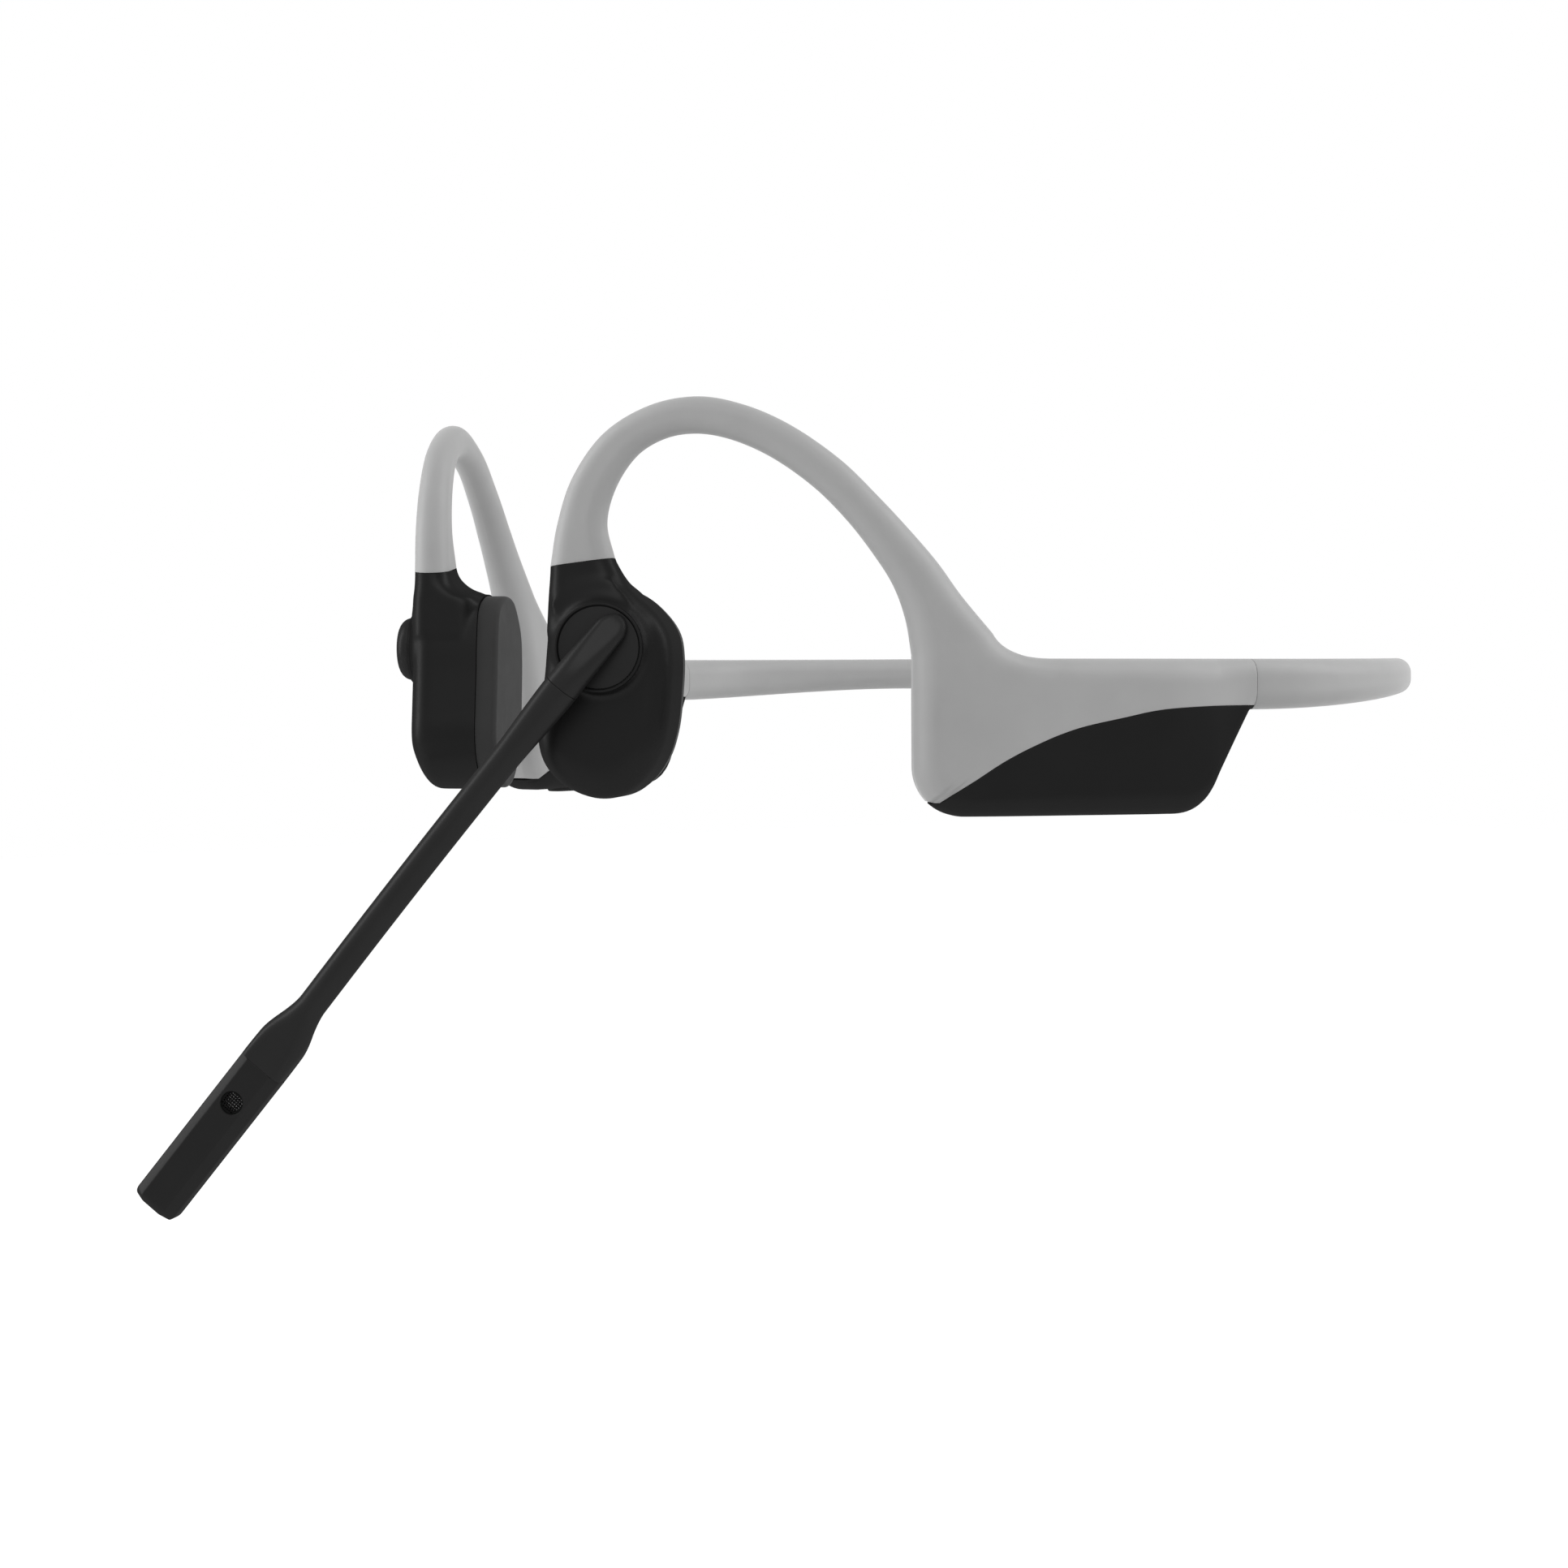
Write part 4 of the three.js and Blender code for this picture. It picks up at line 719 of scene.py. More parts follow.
def box_hollow(place):
    """The space inside a box, which stays free for what it holds"""
    front = BOX_FRONT + BOX_WALL
    rear = BOX_END - BOX_WALL - BOX_REAR_LEAN / 2
    floor_level = BOX_BOTTOM + BOX_WALL
    inside = BOX_THICKNESS / 2 - BOX_WALL
    taper = BOX_FRONT + HOLLOW_TAPER_SHARE * BOX_LENGTH
    sweep = RUNGS[HOOK_RUNGS + len(LIP_SHARES) - 2][2] + BOX_TOP_SWEEP / 2
    floor = np.array([
        [front, floor_level + BOX_FRONT_RADIUS],
        [front + BOX_FRONT_RADIUS / 3, floor_level + BOX_FRONT_RADIUS / 4],
        [front + BOX_FRONT_RADIUS, floor_level],
        [BOX_END - BOX_REAR_LEAN - BOX_REAR_RADIUS / 2, floor_level],
        [rear, JOINT_BOTTOM],
    ])
    ceiling = np.array([
        [front, BOX_TOP - BOX_HEIGHT / 3], [sweep, BOX_TOP - BOX_WALL], [rear, BOX_TOP - BOX_WALL],
    ])
    fold = np.linspace(front, FOLD_END, HOLLOW_RUNGS)
    places = np.unique(np.concatenate([floor[:, 0], ceiling[:, 0], [taper], fold]))
    rings = []
    for along in places:
        low = np.interp(along, floor[:, 0], floor[:, 1])
        high = np.interp(along, ceiling[:, 0], ceiling[:, 1])
        half = np.interp(along, [taper, rear], [inside, (JOINT_THICKNESS - BOX_WALL) / 2])
        corners = ((low, half), (high, half), (high, -half), (low, -half))
        rings.append([[along, *corner] for corner in corners])
    return loft("hollow", place(rings))


def arm_shell(name, place, rings):
    """A sleeve or cover around the space inside its box"""
    return minus(loft(name, place(rings)), box_hollow(place))


# Neckband
def neckband():
    """The neckband's sleeve, drawn on the left and mirrored"""
    lips = BOX_END + SEAM + LIP * LIP_SHARES
    places = np.concatenate([lips, np.linspace(lips[-1], BOX_END + BAND_LENGTH, BAND_RUNGS)[1:]])
    shrink = np.zeros(len(places))
    shrink[:len(LIP_SHARES)] = LIP_INSETS
    share = np.clip((places - BOX_END) / BAND_LENGTH, 0, 1)
    slim = smoothstep(share, 0, NECKBAND_SLIM_SHARE)
    levels = BOX_TOP - JOINT_HEIGHT / 2 + NECKBAND_RISE * smoothstep(share, 0, NECKBAND_RISE_SHARE)
    halves = lerp(JOINT_HEIGHT, NECKBAND_HEIGHT, slim) / 2 - shrink
    depths = lerp(JOINT_THICKNESS, NECKBAND_THICKNESS, slim) / 2 - shrink
    rings = []
    for along, level, half, across in zip(places, levels, halves, depths):
        ring = ring_of(half_section(half, across, across, -half, FLAT_LIP, FLAT))
        rings.append(across_line(along, ring, level))
    left = wrap(rings)
    return loft("neckband_skin", np.concatenate([left, left[-2::-1] * MIRROR]))


# Pods
# The pod's outline, as shares of its half width and half height
POD_OUTLINE = [
    [1, 0.348], [0.94, 0.577], [0.74, 0.77], [0.38, 0.955], [-0.04, 1], [-0.44, 0.96],
    [-0.77, 0.84], [-0.9, 0.58], [-0.96, 0.2], [-1.03, -0.15], [-1.07, -0.43], [-0.97, -0.67],
    [-0.7, -0.86], [-0.35, -0.97], [-0.04, -1], [0.29, -0.95], [0.56, -0.82], [0.78, -0.62],
    [0.915, -0.35], [0.98, 0],
]
POD_MIDDLE = np.array([-POD_CENTRE_REACH, POD_HEIGHT / 2 - POD_BOTTOM_DROP])


def pod_outline():
    """Points around the pod, and the direction inwards at each"""
    points = POD_MIDDLE + np.array(POD_OUTLINE) * np.array([POD_WIDTH, POD_HEIGHT]) / 2
    curve = catmull(points, np.linspace(0, 1, OUTLINE_POINTS, endpoint=False), True)
    curve = resampled(np.concatenate([curve, curve[:1]]), POD_SIDES + 1)[:-1]
    x, y = (np.roll(curve, -1, 0) - np.roll(curve, 1, 0)).T
    inward = np.column_stack([-y, x])
    return curve, inward / np.linalg.norm(inward, axis=1)[:, None]


POD_CURVE, POD_INWARD = pod_outline()
POD_LOW = smoothstep((POD_MIDDLE[1] - POD_CURVE[:, 1]) / (POD_HEIGHT / 2), POD_FOOT_SHARE, 1)


def pod_ring(inset, level, foot_inset=None):
    """The pod's outline drawn in by inset, and by foot_inset at its bottom"""
    foot_inset = inset if foot_inset is None else foot_inset
    inwards = lerp(inset, foot_inset, POD_LOW)[:, None] * POD_INWARD
    return np.column_stack([POD_CURVE + inwards, np.full(POD_SIDES, level)])


# Stations of the neck from hook to pod: share of the way down, back and in growth
NECK_STATIONS = [
    [0, 0, 0], [0.12, 0.08, 0.06], [0.22, 0.14, 0.22], [0.31, 0.2, 0.48], [0.38, 0.26, 0.85],
    [0.47, 0.38, 0.97], [0.7, 0.6, 0.97], [1, 0.64, 0.97],
]
NECK_FRONT = [-0.92, 0.56]


def pod_neck(raised=0):
    """Rings of the neck, its top corners and the hook's direction; raised lifts its outer face"""
    foot, after = RUNGS[0], hook_rungs([0, FOOT_AXIS_SHARE])[1]
    axis = rung_frame(foot)[0] - rung_frame(after)[0]
    axis /= np.linalg.norm(axis)
    top, front = foot[:2] + axis * SEAM, foot[2:4] + axis * SEAM
    rear = POD_MIDDLE[0] + POD_WIDTH / 2
    end = POD_MIDDLE + np.array(NECK_FRONT) * np.array([POD_WIDTH, POD_HEIGHT]) / 2
    rings = []
    for down, back, grow in catmull(NECK_STATIONS, np.linspace(0, 1, NECK_RUNGS)):
        behind = np.array([lerp(top[0], rear, back), lerp(top[1], end[1], down)])
        ahead = lerp(front, end, down)
        low = lerp(-SEAM_INSET - HOOK_THICKNESS / 2, -POD_PAD_SEAM_IN, grow)
        lift = raised * (1 - smoothstep(down, SADDLE_FADE_START, SADDLE_FADE_END))
        high = lerp(-SEAM_INSET + HOOK_THICKNESS / 2, POD_FACE_OUT, grow) + lift
        length = np.linalg.norm(ahead - behind)
        half = (length - raised) / 2
        depth = (high - low) / 2
        ring = ring_of(half_section(half, depth, HOOK_THICKNESS / 2, -half, FLAT_LIP, FLAT))
        flat = (behind + ahead) / 2 + ring[:, :1] * (ahead - behind) / length
        rings.append(np.column_stack([flat, ring[:, 1] + (low + high) / 2]))
    return np.array(rings), top, front, axis


def neck_end_cut(place, top, front, axis):
    """A block whose face cuts the neck off square to the hook"""
    across = (front - top) / np.linalg.norm(front - top)
    middle = (top + front) / 2
    reach = NECK_CUT_REACH
    sides = ((0, -1), (0, 1), (-1, 1), (-1, -1))
    corners = [middle + reach * (depth * axis + aside * across) for depth, aside in sides]
    return loft("end", place([[[*corner, level] for corner in corners] for level in (-reach, reach)]))


SEAT = np.array([-SEAT_REACH, -SEAT_DROP])
# Flare and saddle around a seat: share of the way out, and height as a share of its rise
FLARE = [[1, -0.33], [0.8, -0.12], [0.55, 0.02], [0.35, 0.13], [0.2, 0.27], [0.08, 0.48], [0, 0.75]]
SADDLE = [[1, 0], [0.45, 0.1], [0.15, 0.35], [0, 0.8]]
CAVITY_CEILING = POD_FACE_OUT - POD_WALL


def pod_shell(prefix, place, radius, rise, hole):
    """Shell of a pod with its neck, and the collar and seat of the given radius, rise and hole"""
    def mound(name, outline, top):
        profile = [[0, CAVITY_CEILING], [outline[0][0], CAVITY_CEILING], *outline, [0, top]]
        return turned(name, profile, SEAT, place)

    rings = [pod_ring(0, -POD_PAD_SEAM_IN - OVERRUN)]
    for inset, down in quarter_round(POD_EDGE_STEPS):
        level = POD_FACE_OUT - POD_FACE_RADIUS * down
        rings.append(pod_ring(POD_FACE_RADIUS * inset, level, POD_FOOT_RADIUS * inset))
    shell = loft(f"{prefix}_pod_housing", place(rings))
    neck, top, front, axis = pod_neck()
    longer = np.concatenate([neck[:1] - np.array([*axis, 0]) * NECK_OVERRUN, neck])
    plus(shell, loft("neck", place(longer)))
    inner = radius + SEAT_GAP
    outer = inner + COLLAR_WIDTH
    flare = (POD_WIDTH - POD_FACE_RADIUS) / 2 - outer
    foot = [[outer + flare * wide, POD_FACE_OUT + high * (POD_FACE_RADIUS if high < 0 else rise)]
            for wide, high in FLARE]
    plus(shell, mound("flare", foot, foot[-1][1]))
    raised = SADDLE_RISE * rise / HUB_COLLAR_RISE
    swell = [[outer + POD_FACE_RADIUS * wide, POD_FACE_OUT + high * raised] for wide, high in SADDLE]
    saddle = mound("saddle", swell, POD_FACE_OUT + raised / 2)
    plus(shell, joined(saddle, loft("raised", place(pod_neck(raised)[0])), "INTERSECT"))
    modified(
        shell,
        ("REMESH", {"mode": "VOXEL", "voxel_size": VOXEL * METRES, "use_smooth_shade": True}),
        ("SMOOTH", {"factor": SMOOTH_FACTOR, "iterations": SMOOTH_ROUNDS}),
    )
    minus(shell, neck_end_cut(place, top, front, axis))
    ring_top = POD_FACE_OUT + rise
    bevel = HUB_SINK
    outer_lip = arc((outer - bevel / 2, ring_top - bevel / 2), bevel / 2, 0, 90, RIM_POINTS)
    plus(shell, mound("collar", outer_lip, ring_top))
    floor = ring_top - SEAT_DEPTH
    return minus(
        shell,
        turned("seat", [
            [0, floor], [inner, floor], [inner, ring_top - bevel],
            [inner + bevel, ring_top + SEAT_CUT_LIFT], [inner + bevel, ring_top + OVERRUN],
            [0, ring_top + OVERRUN],
        ], SEAT, place),
        turned("hole", rod(hole, CAVITY_CEILING - 2 * OVERRUN, ring_top), SEAT, place),
        loft("hollow", place([
            pod_ring(POD_WALL, -POD_PAD_SEAM_IN - 4 * OVERRUN),
            pod_ring(POD_WALL, CAVITY_CEILING - POD_FACE_RADIUS + POD_WALL),
            pod_ring(POD_WALL + POD_FACE_RADIUS / 3, CAVITY_CEILING,
                     POD_WALL + POD_FOOT_RADIUS - POD_FACE_RADIUS / 2),
        ])),
        loft("below", place([
            pod_ring(-3 * OVERRUN, -POD_PAD_SEAM_IN - down) for down in (5 * OVERRUN, 0)
        ])),
    )


def pod_pad(prefix, place):
    face = -POD_PAD_SEAM_IN - POD_PAD_DEPTH
    seam = -POD_PAD_SEAM_IN - PAD_SEAM_GAP
    rings = [
        pod_ring(POD_PAD_INSET + PAD_SEAM_ROUND, seam), pod_ring(POD_PAD_INSET, seam - PAD_SEAM_ROUND),
    ]
    for inwards, down in quarter_round(EDGE_STEPS):
        rings.append(pod_ring(POD_PAD_INSET + POD_PAD_EDGE * inwards, face + POD_PAD_EDGE * down))
    for more in PAD_FACE_STEPS:
        rings.append(pod_ring(POD_PAD_INSET + POD_PAD_EDGE * more + PAD_FACE_MARGIN, face))
    return loft(f"{prefix}_pad_skin", place(rings))


# Boom
HUB_FLOOR = POD_FACE_OUT + HUB_COLLAR_RISE - SEAT_DEPTH
HUB_TOP = POD_FACE_OUT + HUB_COLLAR_RISE + HUB_RISE
DISC_TOP = POD_FACE_OUT + HUB_COLLAR_RISE - HUB_SINK
ARM_LEVEL = HUB_TOP + ARM_HALF_THICKNESS
STEM_END = BOOM_LENGTH - HEAD_LENGTH
HUB_CENTRE = np.zeros(2)
PORT_CENTRE = np.array([STEM_END + PORT_REACH, -HEAD_SHIFT])


def stem_arch(along):
    """How far the boom's middle line lies aside of its straight axis"""
    share = np.clip((along - ARM_LENGTH) / (STEM_END - ARM_LENGTH), 0, 1)
    shift = smoothstep(along, STEM_END - FLARE_LENGTH, STEM_END)
    return -STEM_BOW * math.sin(math.pi * share) - HEAD_SHIFT * shift


def boom_ring(along, half, across, level=ARM_LEVEL, radius=ARM_HALF_WIDTH):
    ring = ring_of(half_section(half, across, radius, -half, BOOM_LIP, FLAT))
    return across_line(along, ring, stem_arch(along), level)


def ridge_ring(along, less=0.0):
    """A ring of the arm where it lies across the hub, sinking into it towards its rounded nose"""
    share = (along + ARM_TAIL) / (ARM_LENGTH + ARM_TAIL)
    nose = min(1, (along + ARM_TAIL) / RIDGE_NOSE)
    rounding = math.sqrt(1 - (1 - nose) ** 2)
    half = ARM_HALF_WIDTH * lerp(RIDGE_SLIM, 1, share) * rounding
    rise = lerp(RIDGE_LOW, 1, smoothstep(share, 0, RIDGE_RISE_SHARE))
    high = ARM_HALF_THICKNESS * rise * rounding ** RIDGE_ROUND
    level = lerp(DISC_TOP - SEAT_GAP, HUB_TOP - SEAM / 2, share) + high
    return boom_ring(along, half - less, high - less, level)


def boom_hub():
    rim = arc((HUB_RADIUS - HUB_EDGE, DISC_TOP - HUB_EDGE), HUB_EDGE, 0, 90, RIM_POINTS)
    low = HUB_FLOOR + HUB_LIFT
    hub = turned("boom_hub_cap", [
        [0, SHAFT_END], [SHAFT_RADIUS, SHAFT_END], [SHAFT_RADIUS, low],
        [HUB_RADIUS, low], *rim, [0, DISC_TOP],
    ], HUB_CENTRE, boomed)
    angles = np.linspace(RIDGE_NOSE_START, math.pi / 2, NOSE_RUNGS)
    nose = -ARM_TAIL + RIDGE_NOSE * (1 - np.cos(angles))
    end = ARM_LENGTH - SEAM / 2
    rings = [ridge_ring(along) for along in [*nose, *np.linspace(nose[-1], end - LIP, HEAD_RUNGS)[1:]]]
    for share, less in list(zip(LIP_SHARES, LIP_INSETS))[-2::-1]:
        rings.append(ridge_ring(end - LIP * share, less))
    plus(hub, loft("ridge", boomed(rings)))
    bore = rod(SHAFT_BORE, SHAFT_END - OVERRUN, HUB_FLOOR + PIN_GRIP)
    return minus(hub, turned("bore", bore, HUB_CENTRE, boomed))


def boom_stem():
    lips = ARM_LENGTH + SEAM / 2 + LIP * LIP_SHARES
    ends = STEM_END - SEAM / 2 - LIP * LIP_SHARES[::-1]
    places = np.concatenate([lips, np.linspace(lips[-1], ends[0], STEM_RUNGS)[1:-1], ends])
    shrink = rounded_ends(len(places))
    shrink[-len(ends):] *= HEAD_LIP_SHARE
    rings = []
    for along, less in zip(places, shrink):
        slim = smoothstep(along, ARM_LENGTH, STEM_TAPER_END)
        flare = (along - STEM_END + FLARE_LENGTH) / FLARE_LENGTH
        swell = smoothstep(flare, 0, STEM_SWELL_SHARE)
        width = lerp(lerp(ARM_HALF_WIDTH, STEM_HALF_WIDTH, slim), HEAD_HALF_WIDTH, swell)
        thick = lerp(lerp(ARM_HALF_THICKNESS, STEM_HALF_WIDTH, slim), HEAD_HALF_THICKNESS, swell)
        corner = lerp(ARM_HALF_WIDTH, FLARE_CORNER, smoothstep(flare, 0, 1))
        rings.append(boom_ring(along, width - less, thick - less, radius=corner))
    return loft("boom_stem_skin", boomed(rings))


def head_ring(along, less):
    """A box section with softened bevels on its long edges, drawn in by less"""
    half, across = HEAD_HALF_WIDTH - less, HEAD_HALF_THICKNESS - less
    deep, wide, soft = HEAD_BEVEL, HEAD_BEVEL_WIDTH, HEAD_BEVEL_SOFT
    low, high = (half, across - deep), (half - wide, across)
    after_low = (half - soft, across - deep * (1 - soft / wide))
    before_high = (half - wide + soft, across - deep * soft / wide)
    corner = np.concatenate([
        quadratic((half, across - deep - soft), low, after_low, BEVEL_POINTS),
        quadratic(before_high, high, (half - wide - soft, across), BEVEL_POINTS),
    ])
    quarters = [corner, corner[::-1] * [-1, 1], corner * [-1, -1], corner[::-1] * [1, -1]]
    return across_line(along, np.concatenate(quarters), -HEAD_SHIFT, ARM_LEVEL)


def mic_head():
    start = STEM_END + SEAM / 2
    tip = BOOM_LENGTH - 2 * HEAD_TIP_TAPER
    lips = zip(start + LIP * LIP_SHARES, LIP_INSETS * HEAD_LIP_SHARE)
    rings = [head_ring(along, less) for along, less in lips]
    rings += [head_ring(along, 0) for along in np.linspace(start + LIP, tip, HEAD_RUNGS)[1:-1]]
    for inwards, down in quarter_round(EDGE_STEPS):
        rings.append(head_ring(BOOM_LENGTH - 2 * HEAD_TIP_TAPER * down, HEAD_TIP_TAPER * inwards))
    head = loft("mic_head_shell", boomed(rings))
    mouth = ARM_LEVEL + HEAD_HALF_THICKNESS
    wide = PORT_RADIUS + PORT_EDGE
    port = turned("port", [
        [0, mouth - PORT_DEPTH], [PORT_RADIUS, mouth - PORT_DEPTH], [PORT_RADIUS, mouth - PORT_EDGE],
        [wide, mouth + PORT_CUT_LIFT], [wide, mouth + OVERRUN], [0, mouth + OVERRUN],
    ], PORT_CENTRE, boomed)
    return minus(head, port)


SQUARE = np.array([[-1, -1], [1, -1], [1, 1], [-1, 1]])
BLOCK_FACES = ((3, 2, 1, 0), (4, 5, 6, 7), (0, 1, 5, 4), (1, 2, 6, 5), (2, 3, 7, 6), (3, 0, 4, 7))


def mic_grille():
    """Round plate with a fine grid of openings"""
    top = ARM_LEVEL + HEAD_HALF_THICKNESS - GRILLE_DROP
    radius = PORT_RADIUS - SEAM
    plate = turned("mic_grille_plate", rod(radius, top - GRILLE_THICKNESS, top), PORT_CENTRE, boomed)
    reach = int(radius / GRILLE_PITCH)
    half = GRILLE_OPENING / 2
    corners, faces = [], []
    for x in range(-reach, reach + 1):
        for y in range(-reach, reach + 1):
            middle = np.array([x, y]) * GRILLE_PITCH
            if np.linalg.norm(middle) > radius - GRILLE_PITCH / 2:
                continue
            first = len(corners)
            for level in (top - 2 * GRILLE_THICKNESS, top + GRILLE_THICKNESS):
                corners.extend([*(PORT_CENTRE + middle + half * corner), level] for corner in SQUARE)
            faces.extend([first + corner for corner in face] for face in BLOCK_FACES)
    return minus(plate, make("openings", boomed(corners), faces))


# Controls and contacts of the right box
LED_PLACE = BOARD_FRONT + BOARD_LENGTH - RAIL_LENGTH - 2 * VOLUME_CLEARANCE - LED_RADIUS


def stacked(name, along, outline, levels):
    """An upright body: outline gives its ring for an inset, levels gives (height, inset)"""
    rings = []
    for level, inset in levels:
        ring = outline(inset)
        rings.append(np.column_stack([along + ring[:, 0], np.full(len(ring), level), ring[:, 1]]))
    return loft(name, right(rings))


def volume_outline(inset):
    radius = (VOLUME_WIDTH / 2 - inset) * VOLUME_CORNER_SHARE
    long, wide = (size / 2 - inset - radius for size in (VOLUME_LENGTH, VOLUME_WIDTH))
    middles = ((long, wide), (-long, wide), (-long, -wide), (long, -wide))
    return np.concatenate([
        arc(middle, radius, 90 * quarter, 90 * (quarter + 1), SHORT_POINTS)
        for quarter, middle in enumerate(middles)
    ])


def volume_place(index):
    first = BOARD_FRONT + RAIL_LENGTH + VOLUME_MARGIN + VOLUME_FLANGE + VOLUME_LENGTH / 2
    return first + index * VOLUME_PITCH


def volume_button(name, index):
    low = BOX_BOTTOM - VOLUME_PROUD
    flange = BOX_BOTTOM + BOX_WALL + VOLUME_CLEARANCE
    rounding = quarter_round(VOLUME_EDGE_STEPS)[::-1]
    levels = [(low + VOLUME_EDGE * down, VOLUME_EDGE * inwards) for inwards, down in rounding]
    levels += [(flange, 0), (flange, -VOLUME_FLANGE), (flange + VOLUME_FLANGE, -VOLUME_FLANGE)]
    return stacked(name, volume_place(index), volume_outline, levels)


def led_outline(inset):
    angle = np.linspace(0, 2 * math.pi, LED_SIDES, endpoint=False)
    return (LED_RADIUS - inset) * np.stack([np.cos(angle), np.sin(angle)], 1)


def led_pipe():
    low = BOX_BOTTOM + LED_SINK
    top = BOX_BOTTOM + BOX_WALL + VOLUME_CLEARANCE + VOLUME_FLANGE
    return stacked("led_lens", LED_PLACE, led_outline, [(low, LED_EDGE), (low + LED_EDGE, 0), (top, 0)])


def contact_centre(index):
    return np.array([BOX_FRONT + CONTACT_START + index * CONTACT_PITCH, BOX_BOTTOM + CONTACT_RISE])


def contact(name, index):
    face = -BOX_THICKNESS / 2
    edge = CONTACT_EDGE
    seat = face + BOX_WALL + VOLUME_CLEARANCE
    return turned(name, [
        [0, face], [CONTACT_RADIUS - edge, face], [CONTACT_RADIUS - edge / 4, face + edge / 4],
        [CONTACT_RADIUS, face + edge], [CONTACT_RADIUS, seat], [CONTACT_RADIUS + CONTACT_FLANGE, seat],
        [CONTACT_RADIUS + CONTACT_FLANGE, seat + CONTACT_FLANGE], [0, seat + CONTACT_FLANGE],
    ], contact_centre(index), right, SMALL_SIDES)


def control_openings():
    """Cutters for everything that reaches through the right cover"""
    wall = [(BOX_BOTTOM - OVERRUN, -SEAT_GAP), (BOX_BOTTOM + 2 * BOX_WALL, -SEAT_GAP)]
    cuts = [stacked("opening", volume_place(index), volume_outline, wall) for index in (0, 1)]
    cuts.append(stacked("opening", LED_PLACE, led_outline, wall))
    hole = rod(CONTACT_RADIUS + SEAT_GAP, -BOX_THICKNESS, 0)
    for index in (0, 1):
        cuts.append(turned("opening", hole, contact_centre(index), right, SMALL_SIDES))
    return cuts


# Function button
# Its dome: share of the way from its rim to its flat face, and share of its height
BUTTON_DOME = [
    [0, 0.28], [0.05, 0.42], [0.13, 0.54], [0.26, 0.66], [0.42, 0.77],
    [0.62, 0.86], [0.85, 0.93], [1.1, 0.965], [1.45, 0.99], [1.9, 1],
]


def function_button():
    rim = POD_FACE_OUT + BUTTON_COLLAR_RISE - SEAT_DEPTH + BUTTON_RIM_RISE
    high = POD_FACE_OUT + BUTTON_PROUD
    stem_low = CAVITY_CEILING - BUTTON_STEM_DROP
    low = rim - BUTTON_RIM_DEPTH
    inner = BUTTON_RADIUS - BUTTON_RIM_WIDTH
    dome = [[lerp(BUTTON_RADIUS, BUTTON_FACE_RADIUS, inwards), lerp(rim, high, up)]
            for inwards, up in BUTTON_DOME]
    profile = [[0, stem_low], [BUTTON_SKIRT_RADIUS, stem_low], [BUTTON_SKIRT_RADIUS, low], [inner, low],
               [inner, rim], [BUTTON_RADIUS, rim], *dome, [0, high]]
    return turned("function_button_cap", profile, SEAT, right)


# Materials
NOISE_LOW = 0.3
NOISE_HIGH = 0.7
MOTTLE_SIZE = 6
WEAR_SIZE = 2.5
WHITE = [1, 1, 1, 1]


def channels(value):
    return [value] * 3 if isinstance(value, (int, float)) else value


def linear(value):
    """Linear light of a grey or colour written as on screen, with full alpha"""
    shares = [channel / 255 for channel in channels(value)]
    return [*(((v + 0.055) / 1.055) ** 2.4 if v > 0.04 else v / 12.92 for v in shares), 1]


def opened(owner, name):
    """The node tree of a material or world, and its shader"""
    owner.use_nodes = True
    return owner.node_tree, owner.node_tree.nodes[name]


def set_values(node, values):
    for key, value in values.items():
        node.inputs[key].default_value = value


def added(tree, kind, values, sources, **settings):
    """A new node with constant values and sources on its inputs"""
    node = tree.nodes.new(kind)
    for key, value in settings.items():
        setattr(node, key, value)
    set_values(node, values)
    for key, source in sources.items():
        tree.links.new(source, node.inputs[key])
    return node


def material(name, tone, spread, roughness, grain, bump, settings):
    """tone on screen, spread of its mottles, roughness and its spread, grain and bump in mm"""
    made = bpy.data.materials.new(name)
    tree, shader = opened(made, "Principled BSDF")
    place = tree.nodes.new("ShaderNodeTexCoord").outputs["Object"]

    def noise(size, detail):
        values = {"Scale": 1 / (size * METRES), "Detail": detail}
        return added(tree, "ShaderNodeTexNoise", values, {"Vector": place}).outputs["Fac"]

    def ranged(source, low, high):
        values = {"From Min": NOISE_LOW, "From Max": NOISE_HIGH, "To Min": low, "To Max": high}
        return added(tree, "ShaderNodeMapRange", values, {"Value": source}).outputs["Result"]

    dark, light = ([value + more for value in channels(tone)] for more in (-spread, spread))
    mottle = added(tree, "ShaderNodeMix", {"A": linear(dark), "B": linear(light)},
                   {"Factor": ranged(noise(MOTTLE_SIZE, 3), 0, 1)}, data_type="RGBA")
    dent = added(tree, "ShaderNodeBump", {"Strength": 1, "Distance": bump * METRES},
                 {"Height": noise(grain, 2)})
    rough, rough_spread = roughness
    wear = ranged(noise(WEAR_SIZE, 2), rough - rough_spread, rough + rough_spread)
    tree.links.new(mottle.outputs["Result"], shader.inputs["Base Color"])
    tree.links.new(wear, shader.inputs["Roughness"])
    tree.links.new(dent.outputs["Normal"], shader.inputs["Normal"])
    set_values(shader, settings)
    return made


def black(tone, roughness):
    """A black with a faint coat, whose soft highlights don't brighten at a grazing angle"""
    coat = {"Specular IOR Level": 0, "Coat IOR": 2.2, "Coat Weight": 0.07, "Coat Roughness": roughness}
    return tone, 1, (0.42, 0.03), 0.25, 0.003, coat


def soft(specular, sheen, roughness):
    return {"Specular IOR Level": specular, "Sheen Weight": sheen, "Sheen Roughness": roughness}


